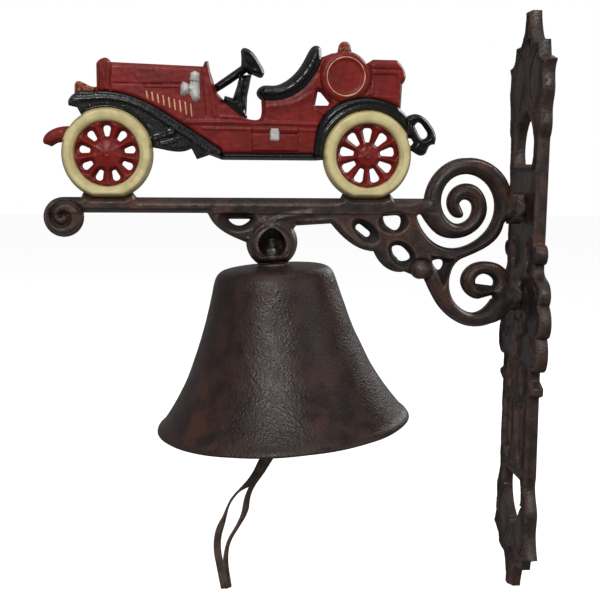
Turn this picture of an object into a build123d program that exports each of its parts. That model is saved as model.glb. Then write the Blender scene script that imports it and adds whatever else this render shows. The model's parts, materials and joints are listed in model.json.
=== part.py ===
from build123d import *
import os
from math import cos, radians, sin

# Wall mounted bell: a cast wall plate, a scrolled bracket that carries a small
# open car, and a bell with a swinging clapper and a leather pull thong.
# Millimetres.  +Z is up, the wall is the plane X = 0, the bracket reaches out
# along -X, and the origin is the centre of the plate's back face.

os.makedirs("parts", exist_ok=True)

# ---------------------------------------------------------------- sizes
plate_thickness = 7.0
plate_half_height = 166.0
wall_hole_radius = 2.6
wall_hole_top = 147.0
wall_hole_bottom = -147.0

arm_depth = 13.0
bar_top = 62.5
bar_height = 8.5
curl_radius = 10.9
saddle_height = 2.6
pad_reach = 8.0
pad_depth = 17.0

bolt_radius = 2.5
bolt_clearance = 0.2
bolt_length = 17.0
bolt_head_radius = 4.8
bolt_head_height = 2.6
upper_bolt_height = 57.5
lower_bolt_height = 8.5

eye_radius = 14.3
eye_depth = 18.0
eye_web = 2.6
eye_floor = 3.0
eye_centre = (-141.0, 38.0)

hanger_x = -140.0
hanger_height = 26.5
bell_lean = 3.8
hang_play = 0.3
shank_radius = 2.5
shank_top = 13.5
shank_clearance = 0.3
washer_radius = 9.0
washer_thickness = 1.2
nut_width = 8.0
nut_height = 4.0
nut_washer_radius = 5.2
collar_radius = 5.0
collar_height = 3.0
bolt_eye_radius = 5.0
bolt_eye_wire = 1.6

bell_radius = 71.5
bell_height = 90.0
bell_crown_radius = 34.0
bell_crown_wall = 6.0

link_ring_radius = 4.0
link_wire = 1.2
link_play = 0.1
clapper_ring_radius = 4.0
clapper_wire = 1.2
rod_radius = 1.7
rod_length = 42.0
ball_radius = 10.0
tail_length = 11.0
tail_ring_radius = 3.4

thong_width = 4.4
thong_thickness = 1.5
thong_gap = 0.1
knot_radius = 3.4
knot_height = 6.0
knot_ring_radius = 3.6
knot_wire = 0.9

wheel_base = 142.2
tyre_radius = 24.8
tyre_sink = 1.4
rim_radius = 17.2
tyre_depth = 12.0
wheel_depth = 7.0
wheel_windows = 9
window_outer = 15.2
window_angle = 77
window_outer_fillet = 1.7
window_inner_fillet = 0.8
hub_radius = 4.0
hub_height = 1.2
body_depth = 9.0
fender_depth = 14.0
seat_depth = 10.0
tank_radius = 14.0
tank_depth = 12.0
hoop_radius = 10.9
hoop_width = 1.1
hoop_height = 0.7
trunk_depth = 10.0
steering_depth = 5.0
lever_depth = 8.0
iron_depth = 7.0
lamp_height = 2.6
step_height = 0.9
louvre_count = 9
louvre_width = 1.0
louvre_height = 0.6

# ---------------------------------------------------------------- planes
# The arm is drawn from the plate's front face, the car from the front wheel's
# foot on the bar, and the bell from the seat under the eye, which leans.
arm_plane = Plane(origin=(-plate_thickness, 0, 0), x_dir=(1, 0, 0), z_dir=(0, -1, 0))
car_plane = Plane(origin=(-plate_thickness - 230.5, 0, bar_top), x_dir=(1, 0, 0), z_dir=(0, -1, 0))
lean_along = (cos(radians(bell_lean)), 0, sin(radians(bell_lean)))
lean_up = (-sin(radians(bell_lean)), 0, cos(radians(bell_lean)))
seat_point = (hanger_x - plate_thickness, 0, hanger_height)
seat_plane = Plane(origin=seat_point, x_dir=lean_along, z_dir=lean_up)
bell_plane = Plane(origin=seat_point, x_dir=lean_along, z_dir=(0, -1, 0))
bell_side_plane = Plane(origin=seat_point, x_dir=(0, 1, 0), z_dir=lean_along)
bell_axis = Axis(seat_point, lean_up)

crown_top = -hang_play - washer_thickness
crown_under = crown_top - bell_crown_wall
collar_top = crown_under - washer_thickness
bolt_eye_centre = collar_top - collar_height - bolt_eye_radius - bolt_eye_wire + 0.6
link_pivot = bolt_eye_centre - bolt_eye_radius + bolt_eye_wire + link_wire + link_play
pivot_point = bell_plane.from_local_coords((0, link_pivot, 0))
link_plane = Plane(origin=pivot_point, x_dir=(1, 0, 0), z_dir=(0, -1, 0))
link_side_plane = Plane(origin=pivot_point, x_dir=(0, 1, 0), z_dir=(1, 0, 0))
bar_pivot = -4 * link_ring_radius + 1.0
clapper_top = bar_pivot + link_wire + clapper_wire + link_play
ring_foot = clapper_top - 2 * clapper_ring_radius
ball_height = ring_foot - rod_length + ball_radius
tail_foot = ball_height - ball_radius - tail_length

tyre_height = tyre_radius - tyre_sink

# ---------------------------------------------------------------- wall plate
# Half of the outline, from the top finial to the bottom one.
with BuildPart() as wall_plate:
    with BuildSketch(Plane.YZ):
        with BuildLine():
            Line((0, plate_half_height), (4, plate_half_height))
            Spline((4, plate_half_height), (6.2, 157), (9.5, 151))
            Polyline((9.5, 151), (12, 149), (20.5, 148.5), (22.5, 140), (33, 137))
            Spline((33, 137), (29.5, 130), (30.5, 121), (28, 112), (28.5, 104), (25.5, 96))
            Line((25.5, 96), (24.5, 38.5))
            ThreePointArc((24.5, 38.5), (30.2, 33), (24.5, 27.5))
            Spline((24.5, 27.5), (27, 21), (33, 18.5), (37, 13.5), (35.2, 6))
            Spline((35.2, 6), (38.5, 2), (40, -4), (38, -10), (34, -12))
            Spline((34, -12), (36.5, -19), (35.5, -27), (24.5, -31.5))
            Polyline((24.5, -31.5), (24.5, -37.5), (31, -40.5), (31, -44.5), (24.5, -47), (25, -93))
            Spline((25, -93), (26, -105), (29.5, -113), (28.5, -123), (30, -132), (33, -138.5))
            Polyline((33, -138.5), (22, -143.5), (21, -149), (10, -150.5))
            Spline((10, -150.5), (6.5, -157), (4, -plate_half_height))
            Line((4, -plate_half_height), (0, -plate_half_height))
            Line((0, -plate_half_height), (0, plate_half_height))
        make_face()
        mirror(about=Plane.YZ)
        # the tall arched window between the two columns, above the bracket
        with BuildLine():
            ThreePointArc((0, 111), (-13, 102), (-16.5, 86))
            Polyline((-16.5, 86), (-15, 82), (15, 82), (16.5, 86))
            ThreePointArc((16.5, 86), (13, 102), (0, 111))
        make_face(mode=Mode.SUBTRACT)
        # slender slots either side of the rosette
        for side in (-1, 1):
            with Locations((side * 12.5, 32)):
                SlotOverall(13, 5.5, rotation=90, mode=Mode.SUBTRACT)
            with Locations((side * 11.5, -40)):
                SlotOverall(13, 5.5, rotation=90, mode=Mode.SUBTRACT)
        # three stems below the rosette leave two long windows
        for side in (-1, 1):
            with Locations((side * 11.5, -72)):
                SlotOverall(34, 8.5, rotation=90, mode=Mode.SUBTRACT)
        with BuildLine():
            ThreePointArc((0, -128), (-13, -120), (-17, -104))
            Polyline((-17, -104), (-15, -98), (15, -98), (17, -104))
            ThreePointArc((17, -104), (13, -120), (0, -128))
        make_face(mode=Mode.SUBTRACT)
    extrude(amount=-plate_thickness)
    with BuildSketch(Plane.YZ):
        with Locations((0, wall_hole_top), (0, wall_hole_bottom)):
            Circle(wall_hole_radius)
    extrude(amount=-plate_thickness, mode=Mode.SUBTRACT)
    for height in (upper_bolt_height, lower_bolt_height):
        with Locations(Plane.YZ.offset(0).shift_origin((0, 0, height))):
            CounterSinkHole(
                bolt_radius + bolt_clearance, bolt_head_radius + bolt_clearance, plate_thickness
            )
wall_plate.part.label = "wall_plate"
export_step(wall_plate.part, "parts/wall_plate.step")

# ---------------------------------------------------------------- bracket arm
bar_foot = bar_top - bar_height
curl_x = -254.7
with BuildPart() as bracket_arm:
    with BuildSketch(arm_plane):
        # the bar and the small curl at its free end
        with BuildLine():
            Polyline((curl_x, bar_top), (-53, bar_top), (-53, bar_foot), (curl_x, bar_foot), close=True)
        make_face()
        with Locations((curl_x, bar_top - curl_radius)):
            Circle(curl_radius)
        # leaf that runs from the bar into the eye
        with BuildLine():
            Polyline((-151, 36), (-140, bar_foot + 1), (-177.5, bar_foot + 1), (-176, bar_foot - 1))
            Spline((-176, bar_foot - 1), (-170, 45.3), (-161, 40.2), (-151, 36))
        make_face()
        with Locations(eye_centre):
            Circle(eye_radius)
        # slim rib that leaves the eye and rises into the bar
        with BuildLine():
            Polyline((-130, 44), (-127.5, 47.2), (-108, 48.4), (-104, bar_foot + 1), (-147, bar_foot + 1))
            Line((-147, bar_foot + 1), (-130, 44))
        make_face()
        # body of the bracket: leaf, lobes and the outer sweep of the lower scroll
        with BuildLine():
            Polyline((-53, bar_foot + 1), (-108, bar_foot + 1), (-108, 48.4))
            Spline((-108, 48.4), (-100, 40), (-92, 34.8), (-83.6, 32.8))
            Spline((-83.6, 32.8), (-79.5, 26.2), (-73.5, 22), (-66, 21.4))
            Spline((-66, 21.4), (-60, 19), (-54.5, 17))
            Spline((-54.5, 17), (-51, 9.8), (-45.5, 1), (-39, -5.2), (-31.5, -9.2), (-24, -10.4), (-15, -8.6))
            Spline((-15, -8.6), (-5.5, -3), (-1.5, 5.5), (-3.2, 15.5), (-7, 22), (-12.5, 26))
            Spline((-12.5, 26), (-20, 27.2), (-27, 25.8), (-31.2, 22.6), (-33.6, 16.2), (-31.2, 10), (-23, 5.6))
            Line((-23, 5.6), (-16.2, 7.4))
            ThreePointArc((-16.2, 7.4), (-14.8, 7.2), (-15.8, 5.6))
            Spline((-15.8, 5.6), (-19.5, 0.8), (-25.5, -2.2), (-32, -0.2), (-37.3, 5), (-39.9, 13), (-39.2, 20.4))
            Spline((-39.2, 20.4), (-36, 26.6), (-31, 29.6))
            Polyline((-31, 29.6), (-25, 40), (-53, bar_foot + 1))
        make_face()
        with Locations((-57.1, 22.4)):
            Circle(5.3)
        # upper scroll, closed round its window
        with BuildLine():
            Spline((-55.8, bar_top - 2), (-53.6, 70.4), (-48.6, 78), (-41.6, 83.2), (-32.4, 85.3))
            Spline((-32.4, 85.3), (-22.5, 84.2), (-14.6, 80), (-9, 74), (-5.8, 66.5), (-5.2, 58), (-9.4, 48.6))
            Spline((-9.4, 48.6), (-14.5, 38.8), (-24, 32.6), (-35.5, 27.6))
            Polyline((-35.5, 27.6), (-60, 30), (-62, bar_top - 2), (-55.8, bar_top - 2))
        make_face()
        # curved hole in the leaf
        with BuildLine():
            Line((-165.1, 50.8), (-152.9, 50.8))
            Spline((-152.9, 50.8), (-155.7, 48.2), (-159, 47.2), (-162.6, 48.2), (-165.1, 50.8))
        make_face(mode=Mode.SUBTRACT)
        # holes of the bracket body
        with Locations((-90, 44.6)):
            SlotOverall(9.4, 3.6, rotation=-38, mode=Mode.SUBTRACT)
        with BuildLine():
            Spline((-78.6, 52.6), (-73.5, 53), (-69.2, 52.2), (-68.7, 48.5), (-70.6, 45.2), (-74, 45.6))
            Spline((-74, 45.6), (-77.4, 48.4), (-78.6, 52.6))
        make_face(mode=Mode.SUBTRACT)
        with BuildLine():
            Spline((-73.2, 35.4), (-69.4, 36.2), (-64.6, 32.8), (-63, 29.2), (-65.4, 27.6), (-70.4, 29.4))
            Spline((-70.4, 29.4), (-72.8, 32.2), (-73.2, 35.4))
        make_face(mode=Mode.SUBTRACT)
        with BuildLine():
            Spline((-50, 27.4), (-47.4, 28.3), (-44.4, 27.6), (-44, 25.6), (-46.4, 22.4), (-48.4, 23.8), (-50, 27.4))
        make_face(mode=Mode.SUBTRACT)
        # rounded hole inside the lower curl
        with BuildLine():
            Line((-24.6, 14.4), (-15, 13.2))
            Spline((-15, 13.2), (-14.6, 16.4), (-17.4, 19.2), (-21.6, 19.8), (-24.4, 17.6), (-24.6, 14.4))
        make_face(mode=Mode.SUBTRACT)
        # spiral window of the upper scroll, from its mouth under the bar inwards
        with BuildLine():
            Spline(
                (-59.4, 52.2), (-55.2, 43.8), (-47.7, 37), (-38.7, 34.7), (-29.5, 37), (-20.2, 44.2),
                (-15.6, 54), (-16.4, 64.6), (-22.2, 72.6), (-31, 76.2), (-39.4, 74), (-44.8, 67),
                (-45.6, 58.8), (-42.6, 52.2), (-37, 48.6), (-31.4, 50.4), (-28.4, 55.6), (-29.2, 60.4),
                (-32.6, 62), (-35.4, 59.6),
            )
            Line((-35.4, 59.6), (-33, 54.6))
            Spline(
                (-33, 54.6), (-33.6, 52.2), (-37, 51.8), (-41.4, 55.4), (-42.8, 61.4), (-39.4, 68.2),
                (-32, 71.2), (-25, 69), (-20.2, 62), (-19.6, 54), (-24, 46), (-31, 41.4), (-39, 40.1),
                (-46.4, 41.8), (-52, 46.4), (-56.6, 52.6),
            )
            ThreePointArc((-56.6, 52.6), (-58.2, 53.6), (-59.4, 52.2))
        make_face(mode=Mode.SUBTRACT)
    extrude(amount=arm_depth / 2, both=True)
    # the eye is a thick boss with a flat foot square to the bell's axis
    with BuildSketch(arm_plane):
        with Locations(eye_centre):
            Circle(eye_radius)
    extrude(amount=eye_depth / 2, both=True)
    with BuildSketch(bell_plane):
        with Locations((0, -10)):
            Rectangle(60, 20)
    extrude(amount=eye_depth, both=True, mode=Mode.SUBTRACT)
    # pear shaped pocket, open to the front and closed behind by a thin web
    with BuildSketch(bell_plane.offset(eye_depth / 2)):
        with BuildLine():
            Line((-5.4, eye_floor), (5.4, eye_floor))
            Spline((5.4, eye_floor), (8, 8), (6.6, 15), (1.4, 21.6))
            Line((1.4, 21.6), (-0.6, 21.6))
            Spline((-0.6, 21.6), (-6.2, 15), (-7.8, 8), (-5.4, eye_floor))
        make_face()
    extrude(amount=-(eye_depth - eye_web), mode=Mode.SUBTRACT)
    with BuildSketch(seat_plane):
        Circle(shank_radius + shank_clearance)
    extrude(amount=eye_floor, mode=Mode.SUBTRACT)
    # pads that sit on the wall plate, tapped for the bolts from behind it
    for height, half_pad in ((upper_bolt_height, 9.0), (lower_bolt_height, 9.5)):
        with BuildSketch(Plane.YZ.offset(-plate_thickness)):
            with Locations((0, height)):
                RectangleRounded(pad_depth, 2 * half_pad, 2.5)
        extrude(amount=-pad_reach)
        with BuildSketch(Plane.YZ.offset(-plate_thickness)):
            with Locations((0, height)):
                Circle(bolt_radius)
        extrude(amount=-(bolt_length - plate_thickness), mode=Mode.SUBTRACT)
    # low saddles that cup the foot of each wheel
    for wheel_x in (0, wheel_base):
        with BuildSketch(car_plane):
            with BuildLine():
                Polyline((wheel_x - 15, -1), (wheel_x - 13.4, saddle_height), (wheel_x + 13.4, saddle_height))
                Polyline((wheel_x + 13.4, saddle_height), (wheel_x + 16, -1), (wheel_x - 15, -1))
            make_face()
            with Locations((wheel_x, tyre_height)):
                Circle(tyre_radius, mode=Mode.SUBTRACT)
            with Locations((wheel_x, -5)):
                Rectangle(40, 10, mode=Mode.SUBTRACT)
        extrude(amount=arm_depth / 2, both=True)
bracket_arm.part.label = "bracket_arm"
export_step(bracket_arm.part, "parts/bracket_arm.step")

with BuildPart() as bracket_bolts:
    for height in (upper_bolt_height, lower_bolt_height):
        with BuildSketch(Plane.XZ):
            with BuildLine():
                Polyline(
                    (0, height), (-bolt_length, height), (-bolt_length, height + bolt_radius),
                    (-bolt_head_height, height + bolt_radius), (0, height + bolt_head_radius), close=True,
                )
            make_face()
        revolve(axis=Axis((0, 0, height), (1, 0, 0)))
bracket_bolts.part.label = "bracket_bolts"
export_step(bracket_bolts.part, "parts/bracket_bolts.step")

# ---------------------------------------------------------------- bell and its hanger
with BuildPart() as bell:
    with BuildSketch(bell_plane):
        with BuildLine():
            Line((0, crown_top), (26, crown_top - 0.7))
            ThreePointArc(
                (26, crown_top - 0.7), (31.6, crown_top - 2.8), (bell_crown_radius, crown_top - 8.5)
            )
            Spline(
                (bell_crown_radius, crown_top - 8.5), (36.2, crown_top - 16), (40.2, crown_top - 29),
                (45.2, crown_top - 44), (51.6, crown_top - 58.7), (59, crown_top - 72),
                (67, crown_top - 83.5), (bell_radius - 0.6, crown_top - bell_height + 2.2),
            )
            ThreePointArc(
                (bell_radius - 0.6, crown_top - bell_height + 2.2),
                (bell_radius, crown_top - bell_height + 0.9),
                (bell_radius - 1.4, crown_top - bell_height),
            )
            Line((bell_radius - 1.4, crown_top - bell_height), (bell_radius - 4.4, crown_top - bell_height))
            Spline(
                (bell_radius - 4.4, crown_top - bell_height), (62.6, crown_top - 83.5),
                (54.8, crown_top - 72), (47.2, crown_top - 58.7), (40.7, crown_top - 44),
                (35.6, crown_top - 29), (31.6, crown_top - 16), (29.4, crown_top - 11),
            )
            ThreePointArc((29.4, crown_top - 11), (27, crown_under - 0.8), (22, crown_under))
            Polyline((22, crown_under), (0, crown_under), (0, crown_top))
        make_face()
    revolve(axis=bell_axis)
    with BuildSketch(seat_plane.offset(crown_top)):
        Circle(shank_radius + bolt_clearance)
    extrude(amount=-bell_crown_wall, mode=Mode.SUBTRACT)
bell.part.label = "bell"
export_step(bell.part, "parts/bell.step")


def washer(height, radius):
    """A flat washer on the bell's axis whose underside is at the given height."""
    with BuildPart() as ring:
        with BuildSketch(seat_plane.offset(height)):
            Circle(radius)
            Circle(shank_radius + bolt_clearance, mode=Mode.SUBTRACT)
        extrude(amount=washer_thickness)
    return ring.part


for name, height, radius in (
    ("crown_washer", crown_top, washer_radius),
    ("inner_washer", collar_top, washer_radius),
    ("nut_washer", eye_floor, nut_washer_radius),
):
    part = washer(height, radius)
    part.label = name
    export_step(part, f"parts/{name}.step")

nut_foot = eye_floor + washer_thickness
with BuildPart() as hanger_nut:
    with BuildSketch(seat_plane.offset(nut_foot)):
        RegularPolygon(nut_width / 2, 6, major_radius=False)
    extrude(amount=nut_height)
    with BuildSketch(seat_plane.offset(nut_foot)):
        Circle(shank_radius)
    extrude(amount=nut_height, mode=Mode.SUBTRACT)
hanger_nut.part.label = "hanger_nut"
export_step(hanger_nut.part, "parts/hanger_nut.step")

with BuildPart() as hanger_bolt:
    with BuildSketch(seat_plane.offset(collar_top)):
        Circle(shank_radius)
    extrude(amount=shank_top - collar_top)
    with BuildSketch(seat_plane.offset(collar_top)):
        Circle(collar_radius)
    extrude(amount=-collar_height)
    with BuildSketch(bell_side_plane):
        with Locations((0, bolt_eye_centre - bolt_eye_radius)):
            Circle(bolt_eye_wire)
    revolve(axis=Axis(bell_plane.from_local_coords((0, bolt_eye_centre, 0)), (0, 1, 0)))
    chamfer(hanger_bolt.edges().sort_by(bell_axis)[-1], 0.6)
hanger_bolt.part.label = "hanger_bolt"
export_step(hanger_bolt.part, "parts/hanger_bolt.step")

# ---------------------------------------------------------------- clapper
# Two small rings set at a quarter turn let the clapper swing both ways.
with BuildPart() as clapper_link:
    with BuildSketch(link_plane):
        with Locations((0, -2 * link_ring_radius)):
            Circle(link_wire)
    revolve(axis=Axis(link_plane.from_local_coords((0, -link_ring_radius, 0)), (1, 0, 0)))
    with BuildSketch(link_side_plane):
        with Locations((0, bar_pivot)):
            Circle(link_wire)
    revolve(axis=Axis(link_plane.from_local_coords((0, bar_pivot + link_ring_radius, 0)), (0, 1, 0)))
    with BuildSketch(link_plane):
        with BuildLine():
            Line((0, -2 * link_ring_radius - 2), (0, -2 * link_ring_radius + 2))
            ThreePointArc(
                (0, -2 * link_ring_radius + 2), (2, -2 * link_ring_radius), (0, -2 * link_ring_radius - 2)
            )
        make_face()
    revolve(axis=Axis(pivot_point, (0, 0, 1)))
clapper_link.part.label = "clapper_link"
export_step(clapper_link.part, "parts/clapper_link.step")

with BuildPart() as clapper_rod:
    with BuildSketch(link_plane):
        with Locations((0, ring_foot)):
            Circle(clapper_wire)
    revolve(axis=Axis(link_plane.from_local_coords((0, ring_foot + clapper_ring_radius, 0)), (1, 0, 0)))
    with BuildSketch(link_plane):
        with BuildLine():
            Polyline(
                (0, ring_foot + 0.6), (rod_radius, ring_foot - 1.4), (rod_radius, tail_foot + 2 * tail_ring_radius),
                (0, tail_foot + 2 * tail_ring_radius - 1), close=True,
            )
        make_face()
    revolve(axis=Axis(pivot_point, (0, 0, 1)))
    with BuildSketch(link_side_plane):
        with Locations((0, tail_foot)):
            Circle(clapper_wire)
    revolve(axis=Axis(link_plane.from_local_coords((0, tail_foot + tail_ring_radius, 0)), (0, 1, 0)))
clapper_rod.part.label = "clapper_rod"
export_step(clapper_rod.part, "parts/clapper_rod.step")

with BuildPart() as clapper_ball:
    with BuildSketch(link_plane):
        with BuildLine():
            Line((0, ball_height - ball_radius), (0, ball_height + ball_radius))
            ThreePointArc(
                (0, ball_height + ball_radius), (ball_radius, ball_height), (0, ball_height - ball_radius)
            )
        make_face()
    revolve(axis=Axis(pivot_point, (0, 0, 1)))
    with BuildSketch(link_plane):
        with Locations((rod_radius / 2, ball_height)):
            Rectangle(rod_radius, 3 * ball_radius)
    revolve(axis=Axis(pivot_point, (0, 0, 1)), mode=Mode.SUBTRACT)
clapper_ball.part.label = "clapper_ball"
export_step(clapper_ball.part, "parts/clapper_ball.step")

# ---------------------------------------------------------------- pull thong
# The thong goes through the tail ring, is knotted under it and hangs as two legs.
knot_top = tail_foot + clapper_wire + knot_wire + link_play - 2 * knot_ring_radius
knot_foot = knot_top - knot_height
with BuildPart() as thong_knot:
    with BuildSketch(link_plane):
        with Locations((0, knot_top)):
            Circle(knot_wire)
    revolve(axis=Axis(link_plane.from_local_coords((0, knot_top + knot_ring_radius, 0)), (1, 0, 0)))
    with BuildSketch(link_plane):
        with BuildLine():
            Line((0, knot_foot), (0, knot_top + 0.6))
            Spline((0, knot_top + 0.6), (knot_radius, knot_top - 2.4), (knot_radius - 0.2, knot_foot))
            Line((knot_radius - 0.2, knot_foot), (0, knot_foot))
        make_face()
    revolve(axis=Axis(pivot_point, (0, 0, 1)))
thong_knot.part.label = "thong_knot"
export_step(thong_knot.part, "parts/thong_knot.step")


def leg_radii(route):
    """The arc at each corner: 0.45 of its shorter run over the tangent of half its turn."""
    radii = []
    for before, corner, after in zip(route, route[1:], route[2:]):
        first = Vector(*corner) - Vector(*before)
        second = Vector(*after) - Vector(*corner)
        turn = radians(first.get_angle(second))
        radii.append(0.45 * min(first.length, second.length) * cos(turn / 2) / sin(turn / 2))
    return radii


def thong_leg(route, side):
    """A flat leg along its route, which lies in a plane just off the middle."""
    leg_plane = link_plane.offset(side * (thong_thickness + thong_gap) / 2)
    with BuildPart() as leg:
        with BuildLine(leg_plane) as path:
            FilletPolyline(*route, radius=leg_radii(route))
        line = path.wires()[0]
        with BuildSketch(Plane(origin=line @ 0, x_dir=(0, 1, 0), z_dir=line % 0)):
            Rectangle(thong_thickness, thong_width)
        sweep()
        add(thong_knot.part, mode=Mode.SUBTRACT)
    print("leg length", line.length, "section by length", line.length * thong_width * thong_thickness)
    print("leg volume", leg.part.volume, "radii", [round(radius, 1) for radius in leg_radii(route)])
    return leg.part


leg_routes = {
    "thong_long_leg": [
        (0.4, knot_foot + 1.2), (-3.8, knot_foot - 4), (-7.6, knot_foot - 10.2),
        (-10.6, knot_foot - 17), (-14.8, knot_foot - 23.2), (-21.6, knot_foot - 27.8),
        (-26.6, knot_foot - 34.6), (-29, knot_foot - 43), (-32.6, knot_foot - 51.6),
        (-33.6, knot_foot - 61.4), (-31.9, knot_foot - 72.8), (-30.6, knot_foot - 84.2),
    ],
    "thong_short_leg": [
        (2.0, knot_foot + 1.6), (-1.8, knot_foot - 4.4), (-6.2, knot_foot - 10.4),
        (-10.2, knot_foot - 17), (-14.2, knot_foot - 23.8), (-16.2, knot_foot - 32),
        (-17, knot_foot - 41), (-21.6, knot_foot - 49.6), (-26.6, knot_foot - 57.6),
        (-28.5, knot_foot - 67), (-27.7, knot_foot - 77), (-25.4, knot_foot - 86.6),
    ],
}
for (name, route), side in zip(leg_routes.items(), (1, -1)):
    part = thong_leg(route, side)
    part.label = name
    export_step(part, f"parts/{name}.step")
print("knot foot", link_plane.from_local_coords((0, knot_foot, 0)), "pivot", pivot_point)

# ---------------------------------------------------------------- car outlines
# Each outline lies in the car's plane: x from the front wheel, y above the bar.
with BuildSketch(car_plane) as tyre_discs:
    with Locations((0, tyre_height), (wheel_base, tyre_height)):
        Circle(tyre_radius)

with BuildSketch(car_plane) as running_board_outline:
    with BuildLine():
        Polyline((62, 24.6), (62, 20.6), (113.4, 20.6), (112, 24.6), close=True)
    make_face()

with BuildSketch(car_plane) as front_fender_outline:
    with BuildLine():
        Polyline((62, 24.6), (62, 20.6), (55.2, 23.2), (48.3, 20.8), (45.4, 26.6))
        Spline((45.4, 26.6), (38.6, 24.8), (30.6, 25.8), (23, 27))
        Polyline((23, 27), (0, 30), (-13.3, 43.4), (-15.7, 48), (-20.2, 49))
        Spline((-20.2, 49), (-19.9, 52.6), (-15.8, 56), (-9.2, 56.5))
        Spline((-9.2, 56.5), (9.8, 55.6), (24, 50.2), (38, 41.8), (52.4, 32.6), (62, 26.2))
        Line((62, 26.2), (62, 24.6))
    make_face()
    add(tyre_discs.sketch_local, mode=Mode.SUBTRACT)

with BuildSketch(car_plane) as rear_fender_outline:
    with BuildLine():
        Polyline((112, 24.6), (113.4, 20.6), (130, 22), (155, 22), (163.4, 35), (164.6, 45.2))
        Spline((164.6, 45.2), (158.9, 50), (150, 53.8), (141, 55.2), (132.3, 54.3), (125, 51.4), (119.2, 47))
        Spline((119.2, 47), (115, 40.6), (112.8, 32), (112, 24.6))
    make_face()
    add(tyre_discs.sketch_local, mode=Mode.SUBTRACT)

with BuildSketch(car_plane) as seat_outline:
    with BuildLine():
        Spline(
            (83.4, 53), (81.4, 58.6), (83.4, 60.4), (90.3, 61), (97.6, 64), (103, 69), (106.4, 74),
            (109.4, 79.6), (112.4, 82.5), (115.2, 82), (116.2, 78.6), (115.6, 73.6), (112.6, 67),
            (107, 60), (99.6, 55), (91.6, 53), (83.4, 53),
        )
    make_face()

with BuildSketch(car_plane) as tank_outline:
    with Locations((129.3, 66)):
        Circle(tank_radius)
    add(seat_outline.sketch_local, mode=Mode.SUBTRACT)
    add(rear_fender_outline.sketch_local, mode=Mode.SUBTRACT)
    with BuildLine():
        Polyline((113, 50.6), (114.4, 58), (116, 57.6), (120.8, 52), (120, 50.6), close=True)
    make_face(mode=Mode.SUBTRACT)

with BuildSketch(car_plane) as tank_cap_outline:
    with BuildLine():
        Polyline((124.4, 76), (125.6, 82.2))
        ThreePointArc((125.6, 82.2), (129, 85.1), (132.2, 82.6))
        Polyline((132.2, 82.6), (133.4, 76), (124.4, 76))
    make_face()
    with Locations((129.3, 66)):
        Circle(tank_radius, mode=Mode.SUBTRACT)

with BuildSketch(car_plane) as trunk_outline:
    with BuildLine():
        Polyline((136, 70), (141.4, 73.6), (144.7, 75.7), (158, 75.6))
        Spline((158, 75.6), (161, 72.4), (163, 67.6), (161.2, 62.6))
        Polyline((161.2, 62.6), (160.4, 47.5), (150, 50), (136, 50), (136, 70))
    make_face()
    with Locations((129.3, 66)):
        Circle(tank_radius, mode=Mode.SUBTRACT)
    add(rear_fender_outline.sketch_local, mode=Mode.SUBTRACT)

with BuildSketch(car_plane) as pedal_outline:
    with BuildLine():
        Polyline((62.6, 52), (63.6, 55.2), (68.6, 53.8), (74.2, 48.4), (76, 43.4), (71.8, 44.6), close=True)
    make_face()

with BuildSketch(car_plane) as lever_outline:
    with BuildLine():
        Polyline((71.6, 66.2), (78.2, 66.6), (75.8, 54.8), (75.4, 45), (68, 54), (70.2, 60.4), close=True)
    make_face()
    add(pedal_outline.sketch_local, mode=Mode.SUBTRACT)

with BuildSketch(car_plane) as steering_wheel_outline:
    with BuildLine():
        Spline(
            (72.3, 79), (73.8, 80.7), (76.4, 80.2), (80.2, 76.8), (83.6, 71.6), (85, 67.2), (83.8, 65.2),
            (80, 66), (76.6, 66.6),
        )
        Line((76.6, 66.6), (72.4, 71.2))
        Spline((72.4, 71.2), (72.6, 75), (72.3, 79))
    make_face()
    add(lever_outline.sketch_local, mode=Mode.SUBTRACT)

with BuildSketch(car_plane) as body_outline:
    with BuildLine():
        Line((-5.1, 52), (-5.1, 71.2))
        Spline((-5.1, 71.2), (-3.4, 73.3), (0, 74.4), (2.6, 72.2))
        Polyline((2.6, 72.2), (51.8, 70.6), (53, 73.4), (54.8, 73.4), (55.8, 68), (59.3, 57))
        Polyline((59.3, 57), (66.4, 49), (76, 43))
        Spline((76, 43), (79, 42.4), (82.4, 43), (83.6, 46.2), (83.4, 53))
        Polyline((83.4, 53), (100, 58), (112, 72), (116, 76.4), (123, 79), (130, 66), (150, 66), (150, 50))
        Polyline((150, 50), (140, 50), (118, 40), (113, 24.6), (60, 24.6), (45, 33), (24, 46), (0, 52))
        Line((0, 52), (-5.1, 52))
    make_face()
    with BuildLine():
        Polyline((113, 50.6), (114.4, 58), (116, 57.6), (120.8, 52), (120, 50.6), close=True)
    make_face(mode=Mode.SUBTRACT)
    for outline in (
        front_fender_outline, rear_fender_outline, running_board_outline, seat_outline,
        tank_outline, tank_cap_outline, trunk_outline, pedal_outline,
    ):
        add(outline.sketch_local, mode=Mode.SUBTRACT)

with BuildSketch(car_plane) as column_outline:
    with BuildLine():
        Polyline((72.6, 71.4), (57, 60.4), (57.6, 55.8), (67, 61.8), (76, 68), close=True)
    make_face()
    for outline in (body_outline, lever_outline, steering_wheel_outline):
        add(outline.sketch_local, mode=Mode.SUBTRACT)

with BuildSketch(car_plane) as front_lamp_outline:
    with BuildLine():
        Line((-17, 53), (-16.8, 60))
        Spline((-16.8, 60), (-14.8, 62), (-12.4, 61.3), (-8.8, 59.5), (-5.1, 59.2))
        Polyline((-5.1, 59.2), (-5.1, 53), (-17, 53))
    make_face()
    add(front_fender_outline.sketch_local, mode=Mode.SUBTRACT)

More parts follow.
